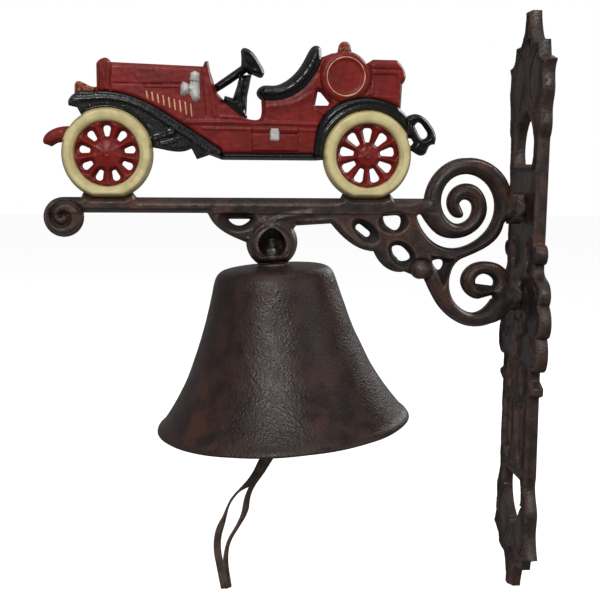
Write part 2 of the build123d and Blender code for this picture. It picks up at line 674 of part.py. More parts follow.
spring_root_x = 4.8 - tyre_radius  # well inside the tyre, which is cut away below
with BuildSketch(car_plane) as spring_end_outline:
    with BuildLine():
        Spline((spring_root_x, 38), (-25.8, 37.4), (-29.4, 36), (-33.8, 31.8), (-34.2, 29.4), (-32, 28))
        Polyline((-32, 28), (-29.8, 27), (-26.6, 29), (spring_root_x, 30), (spring_root_x, 38))
    make_face()
    add(tyre_discs.sketch_local, mode=Mode.SUBTRACT)

with BuildSketch(car_plane) as tail_loop_outline:
    with BuildLine():
        Line((160, 24), (160, 44))
        Spline((160, 44), (164.4, 45.4), (168.2, 46.6), (172.8, 45.4), (177.5, 41), (180.6, 34.8), (180, 30))
        Spline((180, 30), (176.4, 27.8), (174.8, 24.6), (172.8, 23.8), (169.4, 25), (160, 24))
    make_face()
    with BuildLine():
        Spline((168.6, 40), (171, 42), (174, 39.2), (175.8, 34.6), (173.6, 33), (170.6, 36.2), (168.6, 40))
    make_face(mode=Mode.SUBTRACT)
    with BuildLine():
        Polyline((163, 33.2), (166.8, 33.2), (168.3, 31), (166.8, 29.2), (163, 29.2), close=True)
    make_face(mode=Mode.SUBTRACT)
    add(tyre_discs.sketch_local, mode=Mode.SUBTRACT)
    add(rear_fender_outline.sketch_local, mode=Mode.SUBTRACT)

# ---------------------------------------------------------------- car pieces
for name, outline, depth in (
    ("running_board", running_board_outline, fender_depth),
    ("front_fender", front_fender_outline, fender_depth),
    ("rear_fender", rear_fender_outline, fender_depth),
    ("seat_cushion", seat_outline, seat_depth),
    ("fuel_tank", tank_outline, tank_depth),
    ("tank_cap", tank_cap_outline, body_depth),
    ("trunk", trunk_outline, trunk_depth),
    ("pedals", pedal_outline, body_depth),
    ("brake_levers", lever_outline, lever_depth),
    ("steering_wheel", steering_wheel_outline, body_depth),
    ("steering_column", column_outline, steering_depth),
    ("car_body", body_outline, body_depth),
    ("front_lamp", front_lamp_outline, body_depth),
    ("spring_end", spring_end_outline, iron_depth),
    ("tail_loop", tail_loop_outline, iron_depth),
):
    with BuildPart() as piece:
        with BuildSketch(car_plane):
            add(outline.sketch_local)
        extrude(amount=depth / 2, both=True)
    piece.part.label = name
    export_step(piece.part, f"parts/{name}.step")

for wheel_name, tyre_name, wheel_x, window_inner, window_width in (
    ("front_wheel", "front_tyre", 0, 9.4, 4.8),
    ("rear_wheel", "rear_tyre", wheel_base, 7.5, 5.9),
):
    with BuildPart() as tyre:
        with BuildSketch(car_plane):
            with Locations((wheel_x, tyre_height)):
                Circle(tyre_radius)
                Circle(rim_radius, mode=Mode.SUBTRACT)
            with Locations((wheel_x, -5)):
                Rectangle(3 * tyre_radius, 10, mode=Mode.SUBTRACT)
        extrude(amount=tyre_depth / 2, both=True)
    tyre.part.label = tyre_name
    export_step(tyre.part, f"parts/{tyre_name}.step")
    with BuildSketch() as window:
        Trapezoid(window_width, window_outer - window_inner, window_angle)
        fillet(window.vertices().group_by(Axis.Y)[0], window_outer_fillet)
        fillet(window.vertices().group_by(Axis.Y)[-1], window_inner_fillet)
    with BuildPart() as wheel:
        with BuildSketch(car_plane):
            with Locations((wheel_x, tyre_height)):
                Circle(rim_radius)
                with PolarLocations(0, wheel_windows, start_angle=90):
                    with Locations(((window_inner + window_outer) / 2, 0)):
                        add(window.sketch, rotation=90, mode=Mode.SUBTRACT)
        extrude(amount=wheel_depth / 2, both=True)
        with BuildSketch(car_plane):
            with Locations((wheel_x, tyre_height)):
                Circle(hub_radius)
        extrude(amount=wheel_depth / 2 + hub_height, both=True)
    wheel.part.label = wheel_name
    export_step(wheel.part, f"parts/{wheel_name}.step")

# Trim that stands on both faces of the body and of the tank.
with BuildSketch(car_plane) as side_lamp_outline:
    with BuildLine():
        Polyline(
            (39.8, 55), (39.8, 59.6), (41.2, 62.4), (44.8, 60.8), (45.1, 66.6), (47.6, 68), (50.1, 66.6),
            (50.3, 53.2), (48.3, 51.2), (46.2, 52.4), (44.6, 56), (41.6, 54.4), close=True,
        )
    make_face()
with BuildSketch(car_plane) as step_plate_outline:
    with Locations((90.6, 34.5)):
        RectangleRounded(5.4, 7.2, 1.2)
with BuildSketch(car_plane) as louvre_outline:
    for index in range(louvre_count):
        with BuildLine():
            Line((21.6 + 2.95 * index, 56.9 - 0.83 * index), (22.2 + 2.95 * index, 53.2 - 1.18 * index))
            offset(amount=louvre_width / 2)
        make_face()
with BuildSketch(car_plane) as tank_hoop_outline:
    with Locations((129.3, 66)):
        Circle(hoop_radius)
        Circle(hoop_radius - hoop_width, mode=Mode.SUBTRACT)
for name, outline, face, height in (
    ("side_lamps", side_lamp_outline, body_depth / 2, lamp_height),
    ("step_plates", step_plate_outline, body_depth / 2, step_height),
    ("louvres", louvre_outline, body_depth / 2, louvre_height),
    ("tank_hoops", tank_hoop_outline, tank_depth / 2, hoop_height),
):
    with BuildPart() as trim:
        with BuildSketch(car_plane):
            add(outline.sketch_local)
        extrude(amount=face + height, both=True)
        with BuildSketch(car_plane):
            add(outline.sketch_local)
        extrude(amount=face, both=True, mode=Mode.SUBTRACT)
    trim.part.label = name
    export_step(trim.part, f"parts/{name}.step")
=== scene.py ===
"""Looks of a wall mounted bell: cast plate and scrolled arm, painted car, bell, clapper and leather lace.

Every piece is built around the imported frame, in metres, with +Z up and the wall at X = 0. Castings are
shells: their outline is the outline of the frame's own node, and their two faces are heights worked out
from the distance to that outline, with drafted sides, rounded edges, beads, panels and pockets.
"""

import json
import logging
import math
from dataclasses import dataclass
from enum import Enum
from typing import Any, Callable, Sequence

import bmesh
import bpy
import numpy as np
from mathutils import Matrix, Vector

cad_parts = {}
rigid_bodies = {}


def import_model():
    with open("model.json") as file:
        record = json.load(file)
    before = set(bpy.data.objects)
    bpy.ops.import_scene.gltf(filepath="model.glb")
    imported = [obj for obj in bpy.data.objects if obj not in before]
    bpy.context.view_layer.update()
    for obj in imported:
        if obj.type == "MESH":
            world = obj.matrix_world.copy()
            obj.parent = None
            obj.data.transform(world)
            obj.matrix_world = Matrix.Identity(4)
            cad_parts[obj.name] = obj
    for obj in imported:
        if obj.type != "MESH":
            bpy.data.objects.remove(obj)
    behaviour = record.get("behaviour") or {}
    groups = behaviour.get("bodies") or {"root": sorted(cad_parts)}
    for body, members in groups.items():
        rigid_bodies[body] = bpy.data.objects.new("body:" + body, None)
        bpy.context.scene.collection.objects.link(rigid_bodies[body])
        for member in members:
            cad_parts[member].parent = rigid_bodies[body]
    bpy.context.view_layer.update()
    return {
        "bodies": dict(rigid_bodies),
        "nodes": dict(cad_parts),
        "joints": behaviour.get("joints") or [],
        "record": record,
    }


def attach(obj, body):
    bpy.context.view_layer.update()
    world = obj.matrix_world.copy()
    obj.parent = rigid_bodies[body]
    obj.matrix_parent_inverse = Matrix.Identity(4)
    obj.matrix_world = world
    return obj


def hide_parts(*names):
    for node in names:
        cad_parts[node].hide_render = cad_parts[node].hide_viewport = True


MM = 0.001
TURN = 2.0 * math.pi
LOG = logging.getLogger("wall_bell")
Array = np.ndarray
Colour = tuple[float, float, float]
Point2 = tuple[float, float]
Point3 = tuple[float, float, float]


# ---------------------------------------------------------------- shaping helpers
def soft_min(first: Array, second: Array | float, blend: float) -> Array:
    """The smaller of two values, with a rounded corner where they meet.

    Args:
        first: Values of one surface.
        second: Values of the other surface, or one level.
        blend: Width over which the corner is rounded.

    Returns:
        min(first, second) less blend / 4 times the squared nearness of the two.
    """
    nearness = np.maximum(blend - np.abs(first - second), 0.0) / blend
    return np.minimum(first, second) - nearness**2 * blend / 4.0


def rise(distance: Array, run: float, corner: float = 0.35) -> Array:
    """A drafted side: from 0 on the outline to 1 at the run, with a rounded shoulder."""
    return np.clip(soft_min(distance / run, 1.0, corner), 0.0, 1.0)


def step_up(value: Array, low: float, high: float) -> Array:
    """A smooth step: 0 below low, 1 above high, and 3t^2 - 2t^3 between them."""
    share = np.clip((value - low) / (high - low), 0.0, 1.0)
    return share * share * (3.0 - 2.0 * share)


def bell_curve(value: Array, width: float) -> Array:
    """A rounded bump: exp(-(value / width)^2)."""
    return np.exp(-((value / width) ** 2))


def smooth_path(points: Sequence[Point2], per_span: int = 6) -> Array:
    """A Catmull-Rom curve through the points.

    Args:
        points: The points that the curve goes through.
        per_span: Samples on each span.

    Returns:
        An (n, 2) array of points on the curve.
    """
    knots = np.asarray(points, dtype=float)
    padded = np.vstack((2 * knots[0] - knots[1], knots, 2 * knots[-1] - knots[-2]))
    share = np.linspace(0.0, 1.0, per_span, endpoint=False)[None, :, None]
    before, start, end, after = (padded[index : len(padded) - 3 + index, None] for index in range(4))
    curve = 0.5 * (
        2 * start
        + (end - before) * share
        + (2 * before - 5 * start + 4 * end - after) * share**2
        + (3 * start - before - 3 * end + after) * share**3
    )
    return np.vstack((curve.reshape(-1, 2), knots[-1:]))


def span_distance(u: Array, v: Array, start: Array, along: Array) -> Array:
    """The distance from each point (u, v) to the nearest of some straight spans.

    Args:
        u: First coordinate of the points.
        v: Second coordinate of the points.
        start: (n, 2) first ends of the spans.
        along: (n, 2) ways from the first ends to the second.

    Returns:
        The least distance to start + share * along, with the share between 0 and 1.
    """
    offset_u = u[:, None] - start[None, :, 0]
    offset_v = v[:, None] - start[None, :, 1]
    length = (along**2).sum(axis=1) + 1e-18
    share = np.clip((offset_u * along[:, 0] + offset_v * along[:, 1]) / length, 0.0, 1.0)
    gap = (offset_u - share * along[:, 0]) ** 2 + (offset_v - share * along[:, 1]) ** 2
    return np.sqrt(gap.min(axis=1))


def path_distance(u: Array, v: Array, path: Array) -> Array:
    """The distance from each point (u, v) to an open path of straight spans."""
    return span_distance(u, v, path[:-1], np.diff(path, axis=0))


def line_distance(u: Array, v: Array, points: Sequence[Point2]) -> Array:
    """The distance from each point (u, v) to a smooth line through some points."""
    return path_distance(u, v, smooth_path(points))


def inside_box(u: Array, v: Array, low: Point2, high: Point2) -> Array:
    """How far inside an upright rectangle each point is, negative outside."""
    return np.minimum(np.minimum(u - low[0], high[0] - u), np.minimum(v - low[1], high[1] - v))


def ellipse_reach(u: Array, v: Array, centre: Point2, half: Point2, tilt: float = 0.0) -> Array:
    """Distance from an ellipse's centre as a share of its edge: 0 at the centre, 1 on the edge.

    Args:
        u: First coordinate of the points.
        v: Second coordinate of the points.
        centre: Centre of the ellipse.
        half: Its half length and half width.
        tilt: Angle of its length in degrees.

    Returns:
        sqrt((a / half length)^2 + (b / half width)^2) in the ellipse's own axes.
    """
    cos_tilt, sin_tilt = math.cos(math.radians(tilt)), math.sin(math.radians(tilt))
    along = (u - centre[0]) * cos_tilt + (v - centre[1]) * sin_tilt
    across = (v - centre[1]) * cos_tilt - (u - centre[0]) * sin_tilt
    return np.sqrt((along / half[0]) ** 2 + (across / half[1]) ** 2)


def sand_skin(u: Array, v: Array, seed: int, size: float) -> Array:
    """Gentle unevenness of a sand casting: the mean of twelve sine waves in random directions.

    Args:
        u: First coordinate, in the same unit as size.
        v: Second coordinate.
        seed: Seed of the wave directions and phases.
        size: Mean wavelength.

    Returns:
        Values mostly between -1 and 1.
    """
    draw = np.random.default_rng(seed)
    angle, phase = draw.uniform(0, TURN, 12), draw.uniform(0, TURN, 12)
    wave = TURN / (size * draw.uniform(0.6, 1.7, 12))
    total = np.zeros_like(u)
    for turn, shift, number in zip(angle, phase, wave):
        total += np.sin((u * math.cos(turn) + v * math.sin(turn)) * number + shift)
    return total / 3.5


# ---------------------------------------------------------------- meshes
def make_object(name: str, points: Array, faces: Sequence[Array], marks: dict[str, Array]) -> Any:
    """Puts points and faces into a new object at the origin.

    Args:
        name: Name of the piece.
        points: (n, 3) corner places in metres.
        faces: Arrays of corner numbers, one row to a face, one array for each number of corners.
        marks: Values for each corner, kept as float attributes for the finishes.

    Returns:
        The object, linked to the scene and smooth shaded.
    """
    mesh = bpy.data.meshes.new(name)
    totals = np.concatenate([np.full(len(block), block.shape[1]) for block in faces])
    corners = np.concatenate([block.ravel() for block in faces]).astype(np.int32)
    mesh.vertices.add(len(points))
    mesh.vertices.foreach_set("co", np.ascontiguousarray(points, dtype=np.float32).ravel())
    mesh.loops.add(len(corners))
    mesh.loops.foreach_set("vertex_index", corners)
    mesh.polygons.add(len(totals))
    starts = np.concatenate(([0], np.cumsum(totals)[:-1]))
    mesh.polygons.foreach_set("loop_start", starts.astype(np.int32))
    mesh.polygons.foreach_set("loop_total", totals.astype(np.int32))
    mesh.update(calc_edges=True)
    mesh.validate()
    for mark, values in marks.items():
        layer = mesh.attributes.new(mark, "FLOAT", "POINT")
        layer.data.foreach_set("value", np.ascontiguousarray(values, dtype=np.float32))
    mesh.polygons.foreach_set("use_smooth", np.ones(len(mesh.polygons), dtype=bool))
    piece = bpy.data.objects.new(name, mesh)
    bpy.context.scene.collection.objects.link(piece)
    return piece


def grid_faces(rows: int, columns: int, close_rows: bool, close_columns: bool) -> Array:
    """The quads of a grid of points, wrapped round where it closes on itself.

    Args:
        rows: Number of rows of points.
        columns: Points in each row.
        close_rows: Whether the last row joins the first.
        close_columns: Whether the last point of a row joins its first.

    Returns:
        An (n, 4) array of point numbers, with (next row) x (next column) as the outward side.
    """
    row = np.arange(rows if close_rows else rows - 1)[:, None]
    column = np.arange(columns if close_columns else columns - 1)[None, :]
    next_row, next_column = (row + 1) % rows, (column + 1) % columns
    here, right = row * columns + column, row * columns + next_column
    above, corner = next_row * columns + column, next_row * columns + next_column
    return np.stack((here, above, corner, right), axis=-1).reshape(-1, 4)


def solid_skin(points: Array, seed: int, size: float) -> Array:
    """Unevenness of a casting at points in space: the mean of sixteen sine waves in random directions."""
    draw = np.random.default_rng(seed)
    way = draw.normal(size=(16, 3))
    way /= np.linalg.norm(way, axis=1, keepdims=True)
    wave = TURN / (size * draw.uniform(0.6, 1.7, 16))
    phase = draw.uniform(0, TURN, 16)
    return np.sin(points @ (way * wave[:, None]).T + phase).sum(axis=-1) / 4.0


def lathe(
    name: str,
    profile: Array,
    origin: Vector,
    up: Vector,
    sides: int = 48,
    shape: Callable[[Array, Array, Array], Array] | None = None,
    skin: Sequence[tuple[float, float, int]] = (),
) -> Any:
    """A turned piece: a profile of (radius, height) carried round an axis.

    Args:
        name: Name of the piece.
        profile: (n, 2) profile in metres from axis to axis, or a closed ring off the axis.
        origin: Point on the axis from which heights are measured.
        up: Direction of the axis.
        sides: Number of steps round the axis.
        shape: Changes the radius by angle, radius and height, as on a nut or a thread.
        skin: Height, size and seed of each layer of a casting's unevenness.

    Returns:
        The object. A point is origin + height * up + radius * (cos * side + sin * front).
    """
    axis = np.array(up.normalized())
    side = np.array(up.orthogonal().normalized())
    front = np.cross(axis, side)
    angle = (np.arange(sides) * TURN / sides)[None, :]
    ring = np.cos(angle)[..., None] * side + np.sin(angle)[..., None] * front
    radius = np.broadcast_to(profile[:, :1], (len(profile), sides))
    height = np.broadcast_to(profile[:, 1:], (len(profile), sides))
    if shape is not None:
        radius = shape(angle, radius, height)
    points = np.array(origin) + height[..., None] * axis + radius[..., None] * ring
    for amount, size, seed in skin:
        share = np.minimum(radius / (6 * MM), 1.0) * amount * solid_skin(points, seed, size)
        points = points + share[..., None] * ring
    open_ends = profile[0, 0] < 1e-7 and profile[-1, 0] < 1e-7
    faces = grid_faces(len(profile), sides, not open_ends, True)
    piece = make_object(name, points.reshape(-1, 3), [faces], {})
    weld(piece)
    piece.data.set_sharp_from_angle(angle=math.radians(45))
    return piece


def weld(piece: Any, gap: float = 1e-6) -> None:
    """Merges doubled points and turns every face outwards."""
    work = bmesh.new()
    work.from_mesh(piece.data)
    bmesh.ops.remove_doubles(work, verts=work.verts, dist=gap)
    bmesh.ops.dissolve_degenerate(work, edges=work.edges, dist=gap / 2)
    bmesh.ops.recalc_face_normals(work, faces=work.faces)
    work.to_mesh(piece.data)
    work.free()
    for face in piece.data.polygons:
        face.use_smooth = True


def rounded_profile(corners: Sequence[Point2], radii: Sequence[float], steps: int = 4) -> Array:
    """A profile with rounded corners: each corner becomes a quadratic arc between points on its sides.

    Args:
        corners: Corner points of the profile.
        radii: How far along its sides each corner's rounding starts; 0 keeps a corner sharp.
        steps: Samples on each rounding.

    Returns:
        An (n, 2) array of points.
    """
    points = np.asarray(corners, dtype=float)
    out: list[Array] = []
    for index, radius in enumerate(radii):
        here = points[index]
        if radius <= 0:
            out.append(here[None])
            continue
        back, ahead = points[index - 1] - here, points[(index + 1) % len(points)] - here
        start = here + back / np.linalg.norm(back) * min(radius, np.linalg.norm(back) / 2)
        end = here + ahead / np.linalg.norm(ahead) * min(radius, np.linalg.norm(ahead) / 2)
        share = np.linspace(0, 1, steps + 1)[:, None]
        out.append((1 - share) ** 2 * start + 2 * share * (1 - share) * here + share**2 * end)
    return np.vstack(out)


def tube(
    name: str, path: Array, across: Array, closed: bool, section: Array, marks: dict[str, Array] | None = None
) -> Any:
    """A section carried along a path.

    Args:
        name: Name of the piece.
        path: (n, 3) points in metres.
        across: (n, 3) directions of the section's first axis, square to the path.
        closed: Whether the path closes on itself.
        section: (m, 2) or (n, m, 2) section points in metres, counter-clockwise.
        marks: Values for each point of the section.

    Returns:
        The object. A point is path + a * across + b * (tangent x across).
    """
    tangent = np.roll(path, -1, axis=0) - np.roll(path, 1, axis=0)
    if not closed:
        tangent[0], tangent[-1] = path[1] - path[0], path[-1] - path[-2]
    tangent /= np.linalg.norm(tangent, axis=1, keepdims=True)
    across = across - (across * tangent).sum(axis=1, keepdims=True) * tangent
    across /= np.linalg.norm(across, axis=1, keepdims=True)
    other = np.cross(tangent, across)
    section = np.broadcast_to(section, (len(path),) + section.shape[-2:])
    points = path[:, None] + section[..., :1] * across[:, None] + section[..., 1:] * other[:, None]
    count = section.shape[1]
    faces = [grid_faces(len(path), count, closed, True)]
    if not closed:
        faces.append(np.arange(count)[None])
        faces.append(np.arange(count)[None, ::-1] + (len(path) - 1) * count)
    spread = {mark: np.tile(values, len(path)) for mark, values in (marks or {}).items()}
    piece = make_object(name, points.reshape(-1, 3), faces, spread)
    weld(piece)
    return piece


def round_section(radius: float, count: int = 14) -> Array:
    """A round section of a wire."""
    angle = np.arange(count) * TURN / count
    return np.column_stack((np.cos(angle), np.sin(angle))) * radius


def join(name: str, pieces: Sequence[Any]) -> Any:
    """Joins pieces that have the same finish into one object."""
    bpy.ops.object.select_all(action="DESELECT")
    for piece in pieces:
        piece.select_set(True)
    bpy.context.view_layer.objects.active = pieces[0]
    bpy.ops.object.join()
    pieces[0].name = name
    return pieces[0]


# ---------------------------------------------------------------- outlines of castings
class Facing(Enum):
    """The side that a casting is drawn from: the front of the arm, or the room side of the wall."""

    FRONT = "front"
    ROOM = "room"

    def flatten(self, points: Array) -> tuple[Array, Array]:
        """The drawing coordinates (u, v) of points in space."""
        if self is Facing.FRONT:
            return points[:, 0], points[:, 2]
        return -points[:, 1], points[:, 2]

    def raise_up(self, u: Array, v: Array, height: Array) -> Array:
        """Points in space at a height above the drawing plane, towards the viewer."""
        if self is Facing.FRONT:
            return np.column_stack((u, -height, v))
        return np.column_stack((-height, -u, v))


@dataclass
class Outline:
    """The outline of frame nodes seen square on, and the distance to it.

    Attributes:
        edges: (n, 5) directed edges u0, v0, u1, v1 and how often each is counted.
        border: (m, 4) edges with the inside on one side only.
    """

    edges: Array
    border: Array
    tile: float = 8 * MM
    reach: float = 7 * MM

    @classmethod
    def of_nodes(cls, frame: dict[str, Any], names: Sequence[str], facing: Facing) -> "Outline":
        """Reads the outline of nodes from their triangles that face the viewer.

        Args:
            frame: The loaded frame.
            names: Nodes that make the outline together.
            facing: Side that the outline is seen from.

        Returns:
            The outline. Edges shared by two such triangles cancel, and what is left is kept as
            border where only one of its sides is covered.
        """
        blocks = []
        for name in names:
            mesh = frame["nodes"][name].data
            mesh.calc_loop_triangles()
            places = np.empty(3 * len(mesh.vertices), dtype=np.float32)
            mesh.vertices.foreach_get("co", places)
            corners = np.empty(3 * len(mesh.loop_triangles), dtype=np.int32)
            mesh.loop_triangles.foreach_get("vertices", corners)
            u, v = facing.flatten(places.reshape(-1, 3)[corners].astype(float))
            blocks.append(np.column_stack((u, v)).reshape(-1, 3, 2))
        triangles = np.concatenate(blocks)
        first = triangles[:, 1] - triangles[:, 0]
        second = triangles[:, 2] - triangles[:, 0]
        area = first[:, 0] * second[:, 1] - first[:, 1] * second[:, 0]
        triangles = triangles[area > 1e-12]
        start = triangles.reshape(-1, 2)
        end = triangles[:, [1, 2, 0]].reshape(-1, 2)
        start_key, end_key = cls.keys(start), cls.keys(end)
        forward = start_key < end_key
        pair = np.column_stack((np.minimum(start_key, end_key), np.maximum(start_key, end_key)))
        _, index, inverse = np.unique(pair, axis=0, return_index=True, return_inverse=True)
        net = np.bincount(inverse.ravel(), weights=np.where(forward, 1.0, -1.0))
        net = net * np.where(forward[index], 1.0, -1.0)
        kept = np.abs(net) > 0.5
        edges = np.column_stack((start[index], end[index], net))[kept]
        outline = cls(edges, edges[:, :4])
        middle = (edges[:, :2] + edges[:, 2:4]) / 2
        along = edges[:, 2:4] - edges[:, :2]
        normal = np.column_stack((-along[:, 1], along[:, 0]))
        normal *= 0.05 * MM / (np.linalg.norm(normal, axis=1, keepdims=True) + 1e-15)
        sides = [outline.covered(*(middle + way * normal).T) for way in (-1, 1)]
        outline.border = edges[sides[0] != sides[1], :4]
        return outline

    @staticmethod
    def keys(points: Array) -> Array:
        """One whole number for each place, the same for places within a tenth of a micron."""
        whole = np.round(points * 1e7).astype(np.int64) + 8_000_000
        return whole[:, 0] * 16_000_000 + whole[:, 1]

    def without(self, test: Callable[[Array, Array], Array]) -> "Outline":
        """The same outline, less the border whose middle passes a test: there the height doesn't fall."""
        middle_u = (self.border[:, 0] + self.border[:, 2]) / 2
        middle_v = (self.border[:, 1] + self.border[:, 3]) / 2
        return Outline(self.edges, self.border[~test(middle_u, middle_v)])

    def covered(self, u: Array, v: Array) -> Array:
        """Whether each point is inside, by counting the edges crossed on the way in from the left."""
        found = np.zeros(len(u), dtype=bool)
        for group in self.groups(u, v):
            low, high = v[group].min(), v[group].max()
            near = self.edges[
                (np.minimum(self.edges[:, 1], self.edges[:, 3]) <= high)
                & (np.maximum(self.edges[:, 1], self.edges[:, 3]) >= low)
                & (np.minimum(self.edges[:, 0], self.edges[:, 2]) <= u[group].max())
            ]
            u0, v0, u1, v1, weight = near.T[:, None]
            point_u, point_v = u[group][:, None], v[group][:, None]
            crossed = (v0 <= point_v) != (v1 <= point_v)
            slope = (u1 - u0) / np.where(v1 == v0, 1.0, v1 - v0)
            left = crossed & (u0 + (point_v - v0) * slope < point_u)
            found[group] = np.where(left, np.where(v1 < v0, weight, -weight), 0.0).sum(axis=1) > 0.5
        return found

    def groups(self, u: Array, v: Array) -> list[Array]:
        """The numbers of the points in each square tile of the drawing."""
        tile = np.floor(u / self.tile).astype(np.int64) * 100_003 + np.floor(v / self.tile).astype(np.int64)
        order = np.argsort(tile, kind="stable")
        return np.split(order, np.flatnonzero(np.diff(tile[order])) + 1)

    def signed(self, u: Array, v: Array) -> Array:
        """The distance to the border, positive inside and negative outside, at most the reach."""
        distance = np.full(len(u), self.reach)
        border = self.border
        for group in self.groups(u, v):
            low_u, high_u = u[group].min() - self.reach, u[group].max() + self.reach
            low_v, high_v = v[group].min() - self.reach, v[group].max() + self.reach
            near = border[
                (np.maximum(border[:, 0], border[:, 2]) > low_u)
                & (np.minimum(border[:, 0], border[:, 2]) < high_u)
                & (np.maximum(border[:, 1], border[:, 3]) > low_v)
                & (np.minimum(border[:, 1], border[:, 3]) < high_v)
            ]
            if len(near) == 0:
                continue
            gap = span_distance(u[group], v[group], near[:, :2], near[:, 2:] - near[:, :2])
            distance[group] = np.minimum(gap, self.reach)
        return np.where(self.covered(u, v), distance, -distance)

    def box(self, margin: float) -> tuple[Array, Array]:
        """The lowest and highest corners of the border, with a margin."""
        ends = self.border.reshape(-1, 2)
        return ends.min(axis=0) - margin, ends.max(axis=0) + margin


@dataclass
class Relief:
    """The faces of a casting over its outline, in millimetres.

    Attributes:
        x: Across, for each point of the face.
        z: Up.
        side: Distance inside the outline.
        height: Height of the front face above the middle plane.
        wear_and_painted_light: 1 on edges: paint rubbed thin on the iron; partly a painted sheen on the black
            enamel, painted shade on the tyres.
        deep: 1 in recesses, seams and grooves, where the colour is darker; on the tyres this is painted shade.
        gilt: 1 where gold is brushed on.
        back: Height of the back face below the middle plane, or None where it is as the front.
    """

    x: Array
    z: Array
    side: Array
    height: Array
    wear_and_painted_light: Array | float = 0.0
    deep: Array | float = 0.0
    gilt: Array | float = 0.0
    back: Array | None = None

    def marks(self) -> dict[str, Array]:
        """The marks of both faces, for the finish."""
        values = {"wear_and_painted_light": self.wear_and_painted_light, "deep": self.deep, "gilt": self.gilt}
        return {mark: np.tile(np.broadcast_to(value, self.x.shape), 2) for mark, value in values.items()}


FaceRule = Callable[[Array, Array], Relief]
SHARP_SHELL = math.radians(58)
LEAST_SHARE = 0.03

# For each pattern of inside corners of a cell: its faces, and its border from one cut to another.
# Numbers 0 to 3 are the cell's corners, counter-clockwise, and 4 to 7 the cuts on its four edges.
CELL_FACES: dict[int, list[list[int]]] = {
    1: [[0, 4, 7]], 2: [[4, 1, 5]], 3: [[0, 1, 5, 7]], 4: [[5, 2, 6]], 5: [[0, 4, 7], [5, 2, 6]],
    6: [[4, 1, 2, 6]], 7: [[0, 1, 2, 6, 7]], 8: [[7, 6, 3]], 9: [[0, 4, 6, 3]], 10: [[4, 1, 5], [7, 6, 3]],
    11: [[0, 1, 5, 6, 3]], 12: [[7, 5, 2, 3]], 13: [[0, 4, 5, 2, 3]], 14: [[4, 1, 2, 3, 7]],
    15: [[0, 1, 2, 3]],
}
CELL_BORDERS: dict[int, list[tuple[int, int]]] = {
    1: [(4, 7)], 2: [(5, 4)], 3: [(5, 7)], 4: [(6, 5)], 5: [(4, 7), (6, 5)], 6: [(6, 4)], 7: [(6, 7)],
    8: [(7, 6)], 9: [(4, 6)], 10: [(5, 4), (7, 6)], 11: [(5, 6)], 12: [(7, 5)], 13: [(4, 5)], 14: [(7, 4)],
}


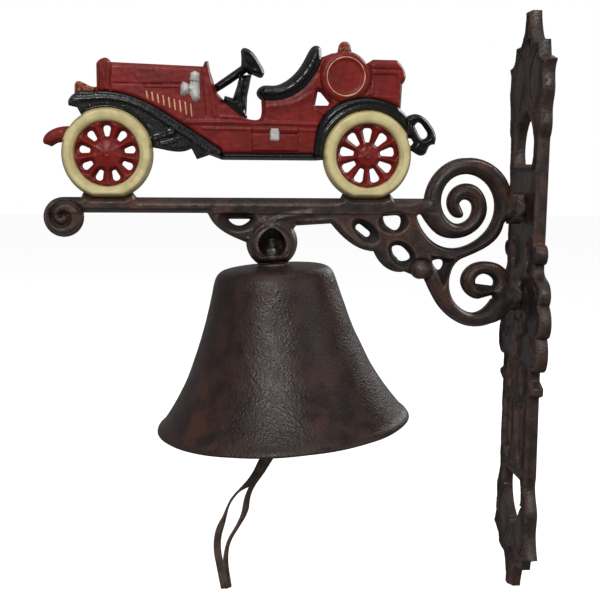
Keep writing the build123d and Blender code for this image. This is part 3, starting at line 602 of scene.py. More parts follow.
def cast_shell(name: str, outline: Outline, facing: Facing, rule: FaceRule, cell: float) -> Any:
    """A closed shell with the outline's shape and two faces at heights given by a rule.

    Args:
        name: Name of the piece.
        outline: The outline that the shell fills.
        facing: Side that the outline is drawn from.
        rule: Gives the faces at points (u, v) in metres.
        cell: Size of the grid's cells in metres.

    Returns:
        The object. Cells that the outline cuts are cut at the zero of the signed distance, and a
        wall joins the two faces along the border.
    """
    low, high = outline.box(1.5 * cell)
    columns = np.linspace(low[0], high[0], int((high[0] - low[0]) / cell) + 2)
    rows = np.linspace(low[1], high[1], int((high[1] - low[1]) / cell) + 2)
    u, v = np.meshgrid(columns, rows)
    signed = outline.signed(u.ravel(), v.ravel()).reshape(u.shape)
    least = LEAST_SHARE * cell
    signed = np.where(np.abs(signed) < least, np.where(signed > 0, least, -least), signed)
    inside = signed > 0

    def cut(axis: int) -> tuple[Array, Array]:
        """The zero of the signed distance on each grid edge along an axis."""
        here, ahead = [slice(None)] * 2, [slice(None)] * 2
        here[axis], ahead[axis] = slice(None, -1), slice(1, None)
        near, far = signed[tuple(here)], signed[tuple(ahead)]
        share = np.where((near > 0) != (far > 0), near / np.where(near == far, 1.0, near - far), 0.5)
        share = np.clip(share, LEAST_SHARE, 1.0 - LEAST_SHARE)
        return tuple((1 - share) * value[tuple(here)] + share * value[tuple(ahead)] for value in (u, v))

    across_u, across_v = cut(1)
    upward_u, upward_v = cut(0)
    all_u = np.concatenate((u.ravel(), across_u.ravel(), upward_u.ravel()))
    all_v = np.concatenate((v.ravel(), across_v.ravel(), upward_v.ravel()))
    node = np.arange(u.size).reshape(u.shape)
    across = u.size + np.arange(across_u.size).reshape(across_u.shape)
    upward = u.size + across_u.size + np.arange(upward_u.size).reshape(upward_u.shape)
    slots = np.stack((
        node[:-1, :-1], node[:-1, 1:], node[1:, 1:], node[1:, :-1],
        across[:-1], upward[:, 1:], across[1:], upward[:, :-1],
    )).reshape(8, -1)
    corners = (inside[:-1, :-1], inside[:-1, 1:], inside[1:, 1:], inside[1:, :-1])
    case = sum(corner * 2**place for place, corner in enumerate(corners)).ravel()
    sheets: dict[int, list[Array]] = {3: [], 4: [], 5: []}
    edges: list[Array] = []
    for number, polygons in CELL_FACES.items():
        cells = np.flatnonzero(case == number)
        for polygon in polygons:
            sheets[len(polygon)].append(slots[polygon][:, cells].T)
        for border in CELL_BORDERS.get(number, []):
            edges.append(slots[list(border)][:, cells].T)
    sheet = {size: np.concatenate(blocks) for size, blocks in sheets.items() if blocks}
    rim = np.concatenate(edges)
    used = np.unique(np.concatenate([block.ravel() for block in sheet.values()]))
    lookup = np.zeros(len(all_u), dtype=np.int64)
    lookup[used] = np.arange(len(used))
    relief = rule(all_u[used], all_v[used])
    depth = relief.height if relief.back is None else relief.back
    front = facing.raise_up(all_u[used], all_v[used], relief.height * MM)
    back = facing.raise_up(all_u[used], all_v[used], -depth * MM)
    count = len(used)
    blocks = []
    for block in sheet.values():
        blocks.append(lookup[block])
        blocks.append(lookup[block][:, ::-1] + count)
    start, end = lookup[rim[:, 0]], lookup[rim[:, 1]]
    blocks.append(np.column_stack((start, start + count, end + count, end)))
    sizes = sorted({block.shape[1] for block in blocks})
    merged = [np.concatenate([block for block in blocks if block.shape[1] == size]) for size in sizes]
    piece = make_object(name, np.vstack((front, back)), merged, relief.marks())
    piece.data.set_sharp_from_angle(angle=SHARP_SHELL)
    LOG.info("%s: %d faces", name, len(piece.data.polygons))
    return piece


# ---------------------------------------------------------------- finishes
class NodeSheet:
    """A material's node tree, with a short method for each kind of node used here."""

    def __init__(self, name: str) -> None:
        """Starts an empty tree with a principled shader and its output."""
        self.material = bpy.data.materials.new(name)
        self.material.use_nodes = True
        self.tree = self.material.node_tree
        self.tree.nodes.clear()
        self.shader = self.tree.nodes.new("ShaderNodeBsdfPrincipled")
        output = self.tree.nodes.new("ShaderNodeOutputMaterial")
        self.tree.links.new(self.shader.outputs["BSDF"], output.inputs["Surface"])
        self.place = self.tree.nodes.new("ShaderNodeTexCoord").outputs["Object"]

    def feed(self, socket: Any, value: Any) -> None:
        """Links a socket to a value, or sets it when the value is a number or a colour."""
        if isinstance(value, bpy.types.NodeSocket):
            self.tree.links.new(value, socket)
        elif isinstance(value, tuple) and len(value) == 3 and len(socket.default_value) == 4:
            socket.default_value = (*value, 1.0)
        else:
            socket.default_value = value

    def noise(self, size: float, detail: float = 3.0, stretch: tuple[float, float, float] = (1, 1, 1)) -> Any:
        """Noise whose features are about a size in metres, drawn out along an axis where asked."""
        mapping = self.tree.nodes.new("ShaderNodeMapping")
        mapping.inputs["Scale"].default_value = stretch
        self.feed(mapping.inputs["Vector"], self.place)
        node = self.tree.nodes.new("ShaderNodeTexNoise")
        node.inputs["Scale"].default_value = 1.0 / size
        node.inputs["Detail"].default_value = detail
        self.feed(node.inputs["Vector"], mapping.outputs["Vector"])
        return node.outputs["Fac"]

    def cells(self, size: float) -> Any:
        """Distance to the nearest of scattered points, for pits and grains of a size in metres."""
        node = self.tree.nodes.new("ShaderNodeTexVoronoi")
        node.inputs["Scale"].default_value = 1.0 / size
        self.feed(node.inputs["Vector"], self.place)
        return node.outputs["Distance"]

    def mark(self, name: str) -> Any:
        """A value that the piece's mesh carries at each point."""
        node = self.tree.nodes.new("ShaderNodeAttribute")
        node.attribute_name = name
        return node.outputs["Fac"]

    def span(self, value: Any, low: float, high: float, out_low: float = 0.0, out_high: float = 1.0) -> Any:
        """Carries a value from one range to another, smoothly and within its ends."""
        node = self.tree.nodes.new("ShaderNodeMapRange")
        node.interpolation_type = "SMOOTHSTEP"
        for socket, number in zip(
            ("From Min", "From Max", "To Min", "To Max"), (low, high, out_low, out_high)
        ):
            node.inputs[socket].default_value = number
        self.feed(node.inputs["Value"], value)
        return node.outputs["Result"]

    def maths(self, operation: str, first: Any, second: Any) -> Any:
        """The result of a sum on two values, kept between 0 and 1."""
        node = self.tree.nodes.new("ShaderNodeMath")
        node.operation = operation
        node.use_clamp = True
        self.feed(node.inputs[0], first)
        self.feed(node.inputs[1], second)
        return node.outputs["Value"]

    def blend(self, share: Any, first: Any, second: Any) -> Any:
        """A colour between two colours."""
        node = self.tree.nodes.new("ShaderNodeMix")
        node.data_type = "RGBA"
        self.feed(node.inputs[0], share)
        self.feed(node.inputs[6], first)
        self.feed(node.inputs[7], second)
        return node.outputs[2]

    def bump(self, height: Any, strength: float, depth: float, below: Any = None) -> Any:
        """A bumped normal, on top of another where given; depth is in metres."""
        node = self.tree.nodes.new("ShaderNodeBump")
        node.inputs["Strength"].default_value = strength
        node.inputs["Distance"].default_value = depth
        self.feed(node.inputs["Height"], height)
        if below is not None:
            self.feed(node.inputs["Normal"], below)
        return node.outputs["Normal"]

    def finish(self, **sockets: Any) -> Any:
        """Sets the shader's sockets, named with _ for a space, and returns the material."""
        for name, value in sockets.items():
            self.feed(self.shader.inputs[name.replace("_", " ")], value)
        return self.material


@dataclass(frozen=True)
class IronFinish:
    """Antique brown paint over sand-cast iron, dark in recesses, rust-warm in patches, rubbed on edges."""

    name: str
    dark: Colour
    brown: Colour
    rust: Colour
    rubbed: Colour
    rust_amount: float
    grain: float
    patch: float = 0.035
    pebble: float = 0.0011
    smooth: float = 0.34
    gloss: float = 0.5

    def material(self) -> Any:
        """Builds the material."""
        sheet = NodeSheet(self.name)
        tone = sheet.blend(sheet.span(sheet.noise(0.012, 5.0), 0.35, 0.65), self.dark, self.brown)
        rust = sheet.span(sheet.noise(self.patch, 4.0), 0.62 - self.rust_amount, 0.78 - self.rust_amount)
        fleck = sheet.span(sheet.noise(0.0016, 2.0), 0.4, 0.62)
        tone = sheet.blend(
            sheet.maths("MULTIPLY", rust, sheet.span(fleck, 0.0, 1.0, 0.45, 0.95)), tone, self.rust
        )
        wear_and_painted_light = sheet.maths(
            "MULTIPLY", sheet.mark("wear_and_painted_light"), sheet.span(sheet.noise(0.004, 4.0), 0.34, 0.62, 0.25, 1.0)
        )
        tone = sheet.blend(wear_and_painted_light, tone, self.rubbed)
        tone = sheet.blend(sheet.maths("MULTIPLY", sheet.mark("deep"), 0.88), tone, (0.007, 0.006, 0.0075))
        shine = sheet.span(sheet.noise(0.006, 4.0), 0.3, 0.7, self.smooth, self.smooth + 0.16)
        rough = sheet.maths("ADD", shine, sheet.maths("MULTIPLY", sheet.mark("deep"), 0.3))
        pebbles = sheet.bump(sheet.noise(self.pebble, 2.0), 0.75 * self.grain, 0.3 * self.pebble)
        normal = sheet.bump(sheet.noise(0.0005, 2.0), 0.5 * self.grain, 0.0001, pebbles)
        return sheet.finish(Base_Color=tone, Roughness=rough, Normal=normal, Specular_IOR_Level=self.gloss)


@dataclass(frozen=True)
class EnamelFinish:
    """Hand-painted gloss enamel, darker in seams, with a second colour on edges: painted sheen on black, painted
    shade on cream.
    """

    name: str
    colour: Colour
    shade: Colour
    brushed_and_painted_light: Colour
    roughness: float
    brushed_by: str = "wear_and_painted_light"
    speckle: float = 0.0016
    gloss: float = 0.5

    def material(self) -> Any:
        """Builds the material."""
        sheet = NodeSheet(self.name)
        tone = sheet.blend(
            sheet.span(sheet.noise(0.009, 4.0), 0.34, 0.68, 0.0, 0.45), self.colour, self.shade
        )
        # Darker in seams and grooves; on the cream tyres this darkening is painted shade.
        tone = sheet.blend(sheet.mark("deep"), tone, self.shade)
        # Second colour where the edge mark is high: partly a painted sheen on the black, painted shade on the
        # tyres.
        broken = sheet.span(sheet.noise(self.speckle, 3.0), 0.4, 0.62)
        tone = sheet.blend(sheet.maths("MULTIPLY", sheet.mark(self.brushed_by), broken), tone, self.brushed_and_painted_light)
        rough = sheet.span(sheet.noise(0.005, 3.0), 0.3, 0.7, self.roughness * 0.8, self.roughness * 1.25)
        coarse = sheet.bump(sheet.noise(0.0048, 2.0), 0.2, 0.0007)
        normal = sheet.bump(sheet.noise(0.0011, 2.0), 0.3, 0.0002, coarse)
        return sheet.finish(Base_Color=tone, Roughness=rough, Normal=normal, Specular_IOR_Level=self.gloss)


@dataclass(frozen=True)
class MetalFinish:
    """Bare or plated steel hardware with fine scratches and tarnish."""

    name: str
    colour: Colour
    tarnish: Colour
    roughness: float

    def material(self) -> Any:
        """Builds the material."""
        sheet = NodeSheet(self.name)
        tone = sheet.blend(sheet.span(sheet.noise(0.003, 5.0), 0.38, 0.66), self.colour, self.tarnish)
        rough = sheet.span(sheet.noise(0.0014, 4.0), 0.3, 0.7, self.roughness * 0.75, self.roughness * 1.3)
        normal = sheet.bump(sheet.noise(0.0007, 3.0), 0.35, 0.0001)
        return sheet.finish(Base_Color=tone, Roughness=rough, Normal=normal, Metallic=0.85)


@dataclass(frozen=True)
class LeatherFinish:
    """Flat brown lace: darker pores and creases, lighter cut edges."""

    name: str
    colour: Colour
    dark: Colour
    edge: Colour

    def material(self) -> Any:
        """Builds the material."""
        sheet = NodeSheet(self.name)
        tone = sheet.blend(sheet.span(sheet.noise(0.005, 5.0), 0.35, 0.68), self.colour, self.dark)
        pores = sheet.cells(0.0008)
        tone = sheet.blend(sheet.span(pores, 0.0, 0.35, 0.5, 0.0), tone, self.dark)
        tone = sheet.blend(sheet.maths("MULTIPLY", sheet.mark("wear_and_painted_light"), 0.55), tone, self.edge)
        creases = sheet.bump(sheet.noise(0.0022, 4.0, (1, 1, 3)), 0.5, 0.0004)
        normal = sheet.bump(pores, 0.3, 0.0002, creases)
        return sheet.finish(Base_Color=tone, Roughness=0.62, Normal=normal, Specular_IOR_Level=0.4)


CAST_IRON = IronFinish(
    "cast_iron", dark=(0.018, 0.012, 0.0105), brown=(0.050, 0.027, 0.021), rust=(0.105, 0.036, 0.022),
    rubbed=(0.17, 0.10, 0.078), rust_amount=0.1, grain=0.9, patch=0.02,
)
BELL_IRON = IronFinish(
    "bell_iron", dark=(0.023, 0.0125, 0.0105), brown=(0.046, 0.0235, 0.0185), rust=(0.085, 0.029, 0.017),
    rubbed=(0.14, 0.10, 0.085), rust_amount=0.035, grain=1.25, patch=0.024, pebble=0.0014, smooth=0.3,
    gloss=0.38,
)
CLAPPER_IRON = IronFinish(
    "clapper_iron", dark=(0.018, 0.015, 0.014), brown=(0.035, 0.028, 0.025), rust=(0.07, 0.03, 0.02),
    rubbed=(0.10, 0.085, 0.08), rust_amount=0.0, grain=0.8,
)
RED_ENAMEL = EnamelFinish(
    "red_enamel", colour=(0.27, 0.0155, 0.011), shade=(0.085, 0.007, 0.006), brushed_and_painted_light=(0.62, 0.36, 0.17),
    roughness=0.4, brushed_by="gilt", gloss=0.32,
)
# The grey on the black's raised edges is partly grey paint from a dry brush and partly a painted sheen.
BLACK_ENAMEL = EnamelFinish(
    "black_enamel", colour=(0.0045, 0.0045, 0.0052), shade=(0.003, 0.003, 0.0036), brushed_and_painted_light=(0.085, 0.085, 0.09),
    roughness=0.23, speckle=0.0007, gloss=0.42,
)
# Olive-brown shade and dark brown edge colour: painted shade on the tyres' edges and rim grooves.
CREAM_ENAMEL = EnamelFinish(
    "cream_enamel", colour=(0.88, 0.755, 0.385), shade=(0.43, 0.335, 0.14), brushed_and_painted_light=(0.17, 0.12, 0.06),
    roughness=0.42, speckle=0.0022, gloss=0.4,
)
GOLD_ENAMEL = EnamelFinish(
    "gold_enamel", colour=(0.95, 0.60, 0.34), shade=(0.62, 0.25, 0.11), brushed_and_painted_light=(0.235, 0.02, 0.016),
    roughness=0.38, speckle=0.0010,
)
SILVER_ENAMEL = EnamelFinish(
    "silver_enamel", colour=(0.78, 0.76, 0.72), shade=(0.20, 0.19, 0.175), brushed_and_painted_light=(0.07, 0.06, 0.055),
    roughness=0.32, speckle=0.0009,
)
ZINC = MetalFinish("zinc_hardware", (0.17, 0.15, 0.13), (0.075, 0.052, 0.038), 0.5)
LACE_LEATHER = LeatherFinish("lace_leather", (0.12, 0.078, 0.06), (0.05, 0.032, 0.025), (0.19, 0.13, 0.10))


def dress(piece: Any, material: Any, body: str, slot: str, *nodes: str) -> Any:
    """Gives a piece its finish and the body it moves with, and hides the nodes it stands for.

    Args:
        piece: The new piece.
        material: Its material.
        body: Body that it rides on.
        slot: The record's material slot; not used.
        nodes: Frame nodes that it replaces.

    Returns:
        The piece.
    """
    piece.data.materials.clear()
    piece.data.materials.append(material)
    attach(piece, body)
    if nodes:
        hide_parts(*nodes)
    return piece


# ---------------------------------------------------------------- scrolled arm
@dataclass(frozen=True)
class Funnel:
    """A hole whose sides are drafted far back from it, as an oval rim round a smaller opening."""

    centre: Point2
    half: Point2
    tilt: float
    throat: float


@dataclass
class BracketArm:
    """The scrolled arm: bar, curl, leaf, eye, lobes, scrolls and pads.

    Drawn in millimetres: x from the face of the wall plate, z above the plate's centre.
    """

    plate: float = 7.0
    bar_half: float = 6.5
    scroll_half: float = 6.2
    leaf_half: float = 5.5
    side_run: float = 2.1
    bar_top: float = 62.5
    bar_foot: float = 54.0
    bar_end: float = -56.0
    bar_slope: float = 3.4
    curl_centre: Point2 = (-254.7, 51.6)
    curl_radius: float = 10.9
    eye_centre: Point2 = (-141.0, 38.0)
    eye_radius: float = 14.3
    eye_half: float = 9.0
    eye_floor: float = -6.4
    boss_centre: Point2 = (-57.3, 22.4)
    boss_radius: float = 6.0
    funnels: tuple[Funnel, ...] = (
        Funnel((-160.5, 50.4), (11.5, 6.6), 0.0, 0.46),
        Funnel((-89.2, 44.6), (9.6, 5.4), -38.0, 0.42),
        Funnel((-73.6, 49.2), (9.0, 6.4), 0.0, 0.5),
        Funnel((-68.4, 31.6), (9.4, 6.6), -42.0, 0.52),
        Funnel((-19.6, 15.4), (7.6, 6.0), 10.0, 0.62),
    )
    curls: tuple[tuple[Point2, float, float], ...] = (((-31.0, 56.0), 28.0, 17.0), ((-19.6, 15.4), 17.0, 9.0))
    triangle: tuple[Point2, ...] = ((-53.0, 31.4), (-37.1, 28.9), (-44.2, 12.0))
    ribs: tuple[tuple[Point2, ...], ...] = (
        ((-177.4, 52.6), (-171.0, 44.6), (-162.4, 40.4), (-153.6, 39.4), (-150.6, 44.6), (-145.0, 50.6)),
        ((-149.6, 42.6), (-144.2, 48.3), (-137.2, 51.4), (-130.2, 53.2), (-119.6, 54.6)),
        ((-130.2, 45.2), (-123.0, 48.4), (-112.0, 50.0), (-104.5, 48.4), (-97.4, 41.2), (-89.8, 36.2),
         (-84.0, 34.4)),
    )

    def build(self, frame: dict[str, Any]) -> Any:
        """Makes and dresses the arm.

        Args:
            frame: The loaded frame.

        Returns:
            The object.
        """
        outline = Outline.of_nodes(frame, ["bracket_arm"], Facing.FRONT)
        self.sides = outline.without(lambda u, v: u > -(self.plate + 0.05) * MM)
        arm = cast_shell("bracket_arm_casting", outline, Facing.FRONT, self.faces, 0.46 * MM)
        return dress(arm, CAST_IRON.material(), "bracket", "cast_iron", "bracket_arm")

    def faces(self, u: Array, v: Array) -> Relief:
        """Heights of both faces at points in metres."""
        x, z = u / MM + self.plate, v / MM
        side = np.maximum(self.sides.signed(u, v) / MM, 0.0)
        on_bar = step_up(z, self.bar_foot - 0.5, self.bar_foot + 0.4)
        on_bar = on_bar * step_up(-x, -self.bar_end - 3, -self.bar_end)
        on_scroll = 1.0 - step_up(-x, 52.0, 60.0)
        level = self.leaf_half + (self.scroll_half - self.leaf_half) * on_scroll
        level = level + (self.bar_half - level) * on_bar
        height = level * rise(side, self.side_run)
        wear_and_painted_light = bell_curve(side - 0.86 * self.side_run, 0.55) * 0.8
        height, wear_and_painted_light, shade = self.scrolls(u, v, side, height, wear_and_painted_light)
        height, wear_and_painted_light = self.bar_slopes(x, z, side, height, wear_and_painted_light)
        height, deep = self.curl(x, z, height)
        deep = np.maximum(deep, shade)
        height, wear_and_painted_light, deep = self.pierced(x, z, side, height, wear_and_painted_light, deep, level)
        for rib in self.ribs:
            gap = path_distance(x, z, smooth_path(rib))
            height = height + 0.9 * bell_curve(gap, 1.3) * rise(side, 1.4)
            wear_and_painted_light = np.maximum(wear_and_painted_light, bell_curve(gap, 0.9) * 0.7)
        boss = np.hypot(x - self.boss_centre[0], z - self.boss_centre[1])
        dome = 2.8 + np.sqrt(np.maximum(self.boss_radius**2 - boss**2, 0.0))
        height = height - 1.6 * bell_curve(boss - self.boss_radius, 0.9) * rise(side, 1.5)
        height = np.where(boss < self.boss_radius, np.maximum(height, dome * rise(side, 0.8)), height)
        deep = np.maximum(deep, bell_curve(boss - self.boss_radius - 0.3, 0.7) * 0.9)
        wear_and_painted_light = np.where(boss > self.boss_radius, wear_and_painted_light, 0.3 + 0.4 * bell_curve(boss - 1.0, 1.6))
        height = np.maximum(height, self.pads(x, z))
        height = height + 0.07 * sand_skin(x, z, 4, 7.0) * rise(side, 1.5)
        height = np.maximum(height, 0.45)
        deep = deep * step_up(boss, self.boss_radius - 0.6, self.boss_radius)
        front, back, wear_and_painted_light, deep = self.eye(x, z, side, height, wear_and_painted_light, deep)
        return Relief(x, z, side, front, wear_and_painted_light, deep, back=back)

    def scrolls(
        self, u: Array, v: Array, side: Array, height: Array, wear_and_painted_light: Array
    ) -> tuple[Array, Array, Array]:
        """Gives both scrolls a crisp ridge along their middle, with the slopes over the gaps left dark.

        The height falls from the ridge by a share of the way to the nearest edge. A slope faces
        the scroll's centre where the edge is further off at a slightly larger radius.
        """
        x, z = u / MM + self.plate, v / MM
        shade = np.zeros_like(x)
        for (middle_x, middle_z), reach, ring in self.curls:
            radius = np.hypot(x - middle_x, z - middle_z)
            turn = np.arctan2(z - middle_z, x - middle_x)
            out = 0.7 * MM / np.maximum(radius, 1.0)
            beyond = self.sides.signed(u + out * (x - middle_x), v + out * (z - middle_z)) / MM
            inward = step_up(beyond - side, -0.25, 0.35)
            on_scroll = (1.0 - step_up(radius, reach, reach + 4.0)) * step_up(x, -60.0, -52.0)
            height = height - on_scroll * (0.42 * np.maximum(4.6 - side, 0.0))
            dark = np.where(radius > ring, inward, 1.0 - inward)
            low_right = 0.25 + 0.75 * step_up(np.cos(turn + 0.9), -0.4, 0.5)
            shade = np.maximum(shade, dark * low_right * on_scroll * step_up(side, 0.2, 1.0) * 0.85)
            ridge = bell_curve(beyond - side - 0.05, 0.16) * step_up(side, 2.2, 3.4)
            wear_and_painted_light = np.maximum(wear_and_painted_light, ridge * on_scroll * 0.6)
        return height, wear_and_painted_light, shade

    def bar_slopes(self, x: Array, z: Array, side: Array, height: Array, wear_and_painted_light: Array) -> tuple[Array, Array]:
        """Slopes the bar's upper edge back, except where a saddle rises to a wheel.

        The bevel climbs from 2.6 mm at the top edge to the full height over the slope's width.
        """
        car = x + 230.5
        near_wheel = 1.0 - step_up(np.minimum(np.abs(car), np.abs(car - 142.2)), 14.0, 18.0)
        bevel = 2.6 + (self.bar_half - 2.6) * rise(np.maximum(self.bar_top - z, 0.0), self.bar_slope, 0.25)
        bevel = np.where(z > self.bar_top, self.bar_half, bevel)
        bevel = bevel + (self.bar_half - bevel) * near_wheel
        along = step_up(-x, 60.0, 66.0) * step_up(z, 53.0, 54.0)
        height = height + (np.minimum(height, bevel) - height) * along
        shoulder = bell_curve(self.bar_top - self.bar_slope - z, 0.8) * along * (1.0 - near_wheel)
        foot = bell_curve(z - self.bar_foot - 0.3, 0.6) * step_up(-x, 8.0, 60.0)
        return height, np.maximum(wear_and_painted_light * (1 - 0.7 * along), np.maximum(shoulder * 0.55, foot * 0.5))

    def curl(self, x: Array, z: Array, height: Array) -> tuple[Array, Array]:
        """Cuts the spiral groove into the curl at the bar's free end.

        The groove's radius shrinks from 10.2 to 1.6 mm over 1.32 turns from under the bar.
        """
        share = np.linspace(0.0, 1.0, 60)
        angle = math.radians(28.0) + share * TURN * 1.32
        radius = 1.6 + 8.6 * (1.0 - share) ** 2.1 + 2.6 * (1.0 - share) ** 0.5 * share
        path = np.column_stack((
            self.curl_centre[0] + radius * np.cos(angle), self.curl_centre[1] + radius * np.sin(angle)
        ))
        near = np.hypot(x - self.curl_centre[0], z - self.curl_centre[1]) < self.curl_radius + 1.5
        gap = np.full_like(x, 9.0)
        gap[near] = path_distance(x[near], z[near], path)
        groove = bell_curve(gap, 1.15)
        return height - 2.4 * groove * np.minimum(height / 5.0, 1.0), groove * 0.5

    def pierced(
        self, x: Array, z: Array, side: Array, height: Array, wear_and_painted_light: Array, deep: Array, level: Array
    ) -> tuple[Array, Array, Array]:
        """Drafts the holes of the leaf and lobes far back, and sinks the small triangle.

        Inside a funnel's rim the height falls to 1.2 mm at the throat as a power of the reach.
        """
        for funnel in self.funnels:
            reach = ellipse_reach(x, z, funnel.centre, funnel.half, funnel.tilt)
            share = np.clip((reach - funnel.throat) / (1.0 - funnel.throat), 0.0, 1.0)
            cone = 1.2 + (level - 1.2) * share**0.75
            cone = np.where(z > self.bar_foot, level + (cone - level) * (1 - step_up(z, 54.0, 54.6)), cone)
            height = np.where(reach < 1.0, np.minimum(height, cone), height)
            inner = np.where(z > self.bar_foot, 0.0, 1.0 - step_up(reach, 0.86, 1.0))
            deep = np.maximum(deep, inner * 0.9)
            wear_and_painted_light = wear_and_painted_light * (1.0 - inner)
            wear_and_painted_light = np.maximum(wear_and_painted_light, bell_curve(reach - 1.04, 0.07) * 0.6 * (z < self.bar_foot))
        corners = np.asarray(self.triangle)
        inward = np.full_like(x, 99.0)
        for start, end in zip(corners, np.roll(corners, -1, axis=0)):
            along = (end - start) / np.linalg.norm(end - start)
            inward = np.minimum(inward, along[1] * (x - start[0]) - along[0] * (z - start[1]))
        inward = np.where(np.abs(inward) > 90.0, -1.0, inward)
        sink = rise(np.maximum(inward, 0.0), 2.6)
        height = np.where(inward > 0, np.minimum(height, level - (level - 1.4) * sink), height)
        deep = np.maximum(deep, step_up(inward, 0.2, 1.2) * 0.95)
        wear_and_painted_light = np.maximum(wear_and_painted_light * (inward < 0), bell_curve(inward + 0.3, 0.5) * 0.8)
        return height, wear_and_painted_light, deep

    def pads(self, x: Array, z: Array) -> Array:
        """Height of the two rounded pads that meet the wall plate."""
        total = np.zeros_like(x)
        for centre, half in ((57.5, 9.0), (8.5, 9.5)):
            inward = np.minimum(half - np.abs(z - centre), x + 8.0)
            total = np.maximum(total, 8.5 * rise(np.maximum(inward, 0.0), 5.2, 0.8))
        return total

    def eye(
        self, x: Array, z: Array, side: Array, height: Array, wear_and_painted_light: Array, deep: Array
    ) -> tuple[Array, Array, Array, Array]:
        """Adds the thick round eye with its pear-shaped pocket, open to the front only."""
        radius = np.hypot(x - self.eye_centre[0], z - self.eye_centre[1])
        inward = np.minimum(self.eye_radius - radius, side + 6.0 * (z > 40.0))
        boss = self.eye_half * rise(np.maximum(inward, 0.0), 2.4, 0.5)
        on_eye = radius < self.eye_radius
        back = np.where(on_eye, np.maximum(height, boss), height)
        pear = self.pear(x, z)
        dish = 0.5 * bell_curve(pear + 2.6, 1.1)
        front = np.where(on_eye, np.maximum(height, boss - dish), height)
        wall = step_up(pear, 0.0, 1.1)
        front = front + (self.eye_floor - front) * wall * on_eye
        wear_and_painted_light = np.where(
            on_eye, bell_curve(pear + 0.7, 0.8) * 0.95 + bell_curve(inward - 2.0, 0.7) * 0.35, wear_and_painted_light
        )
        deep = np.where(on_eye, step_up(pear, 0.2, 1.2) * 0.1, deep)
        return front, back, wear_and_painted_light, deep

    def pear(self, x: Array, z: Array) -> Array:
        """How far inside the pocket each point is: a circle below, narrowing to a point above.

        Its half width at a height is its widest half times the square root of 1 - t^2 below the
        widest place, and times 1 - t^1.7 to the power 0.6 above it.
        """
        centre, wide, low, high = 37.2, 7.7, 7.7, 9.0
        offset = z - centre
        below = np.sqrt(np.clip(1.0 - (offset / low) ** 2, 0.0, 1.0))
        above = np.clip(1.0 - (offset / high) ** 1.7, 0.0, 1.0) ** 0.6
        half = wide * np.where(offset < 0, below, above)
        reach = np.where(offset < 0, low + offset, (high - offset) * 0.8)
        lean = (z - 38.0) * -0.02
        return np.minimum(half - np.abs(x - self.eye_centre[0] - lean + 0.2), reach)


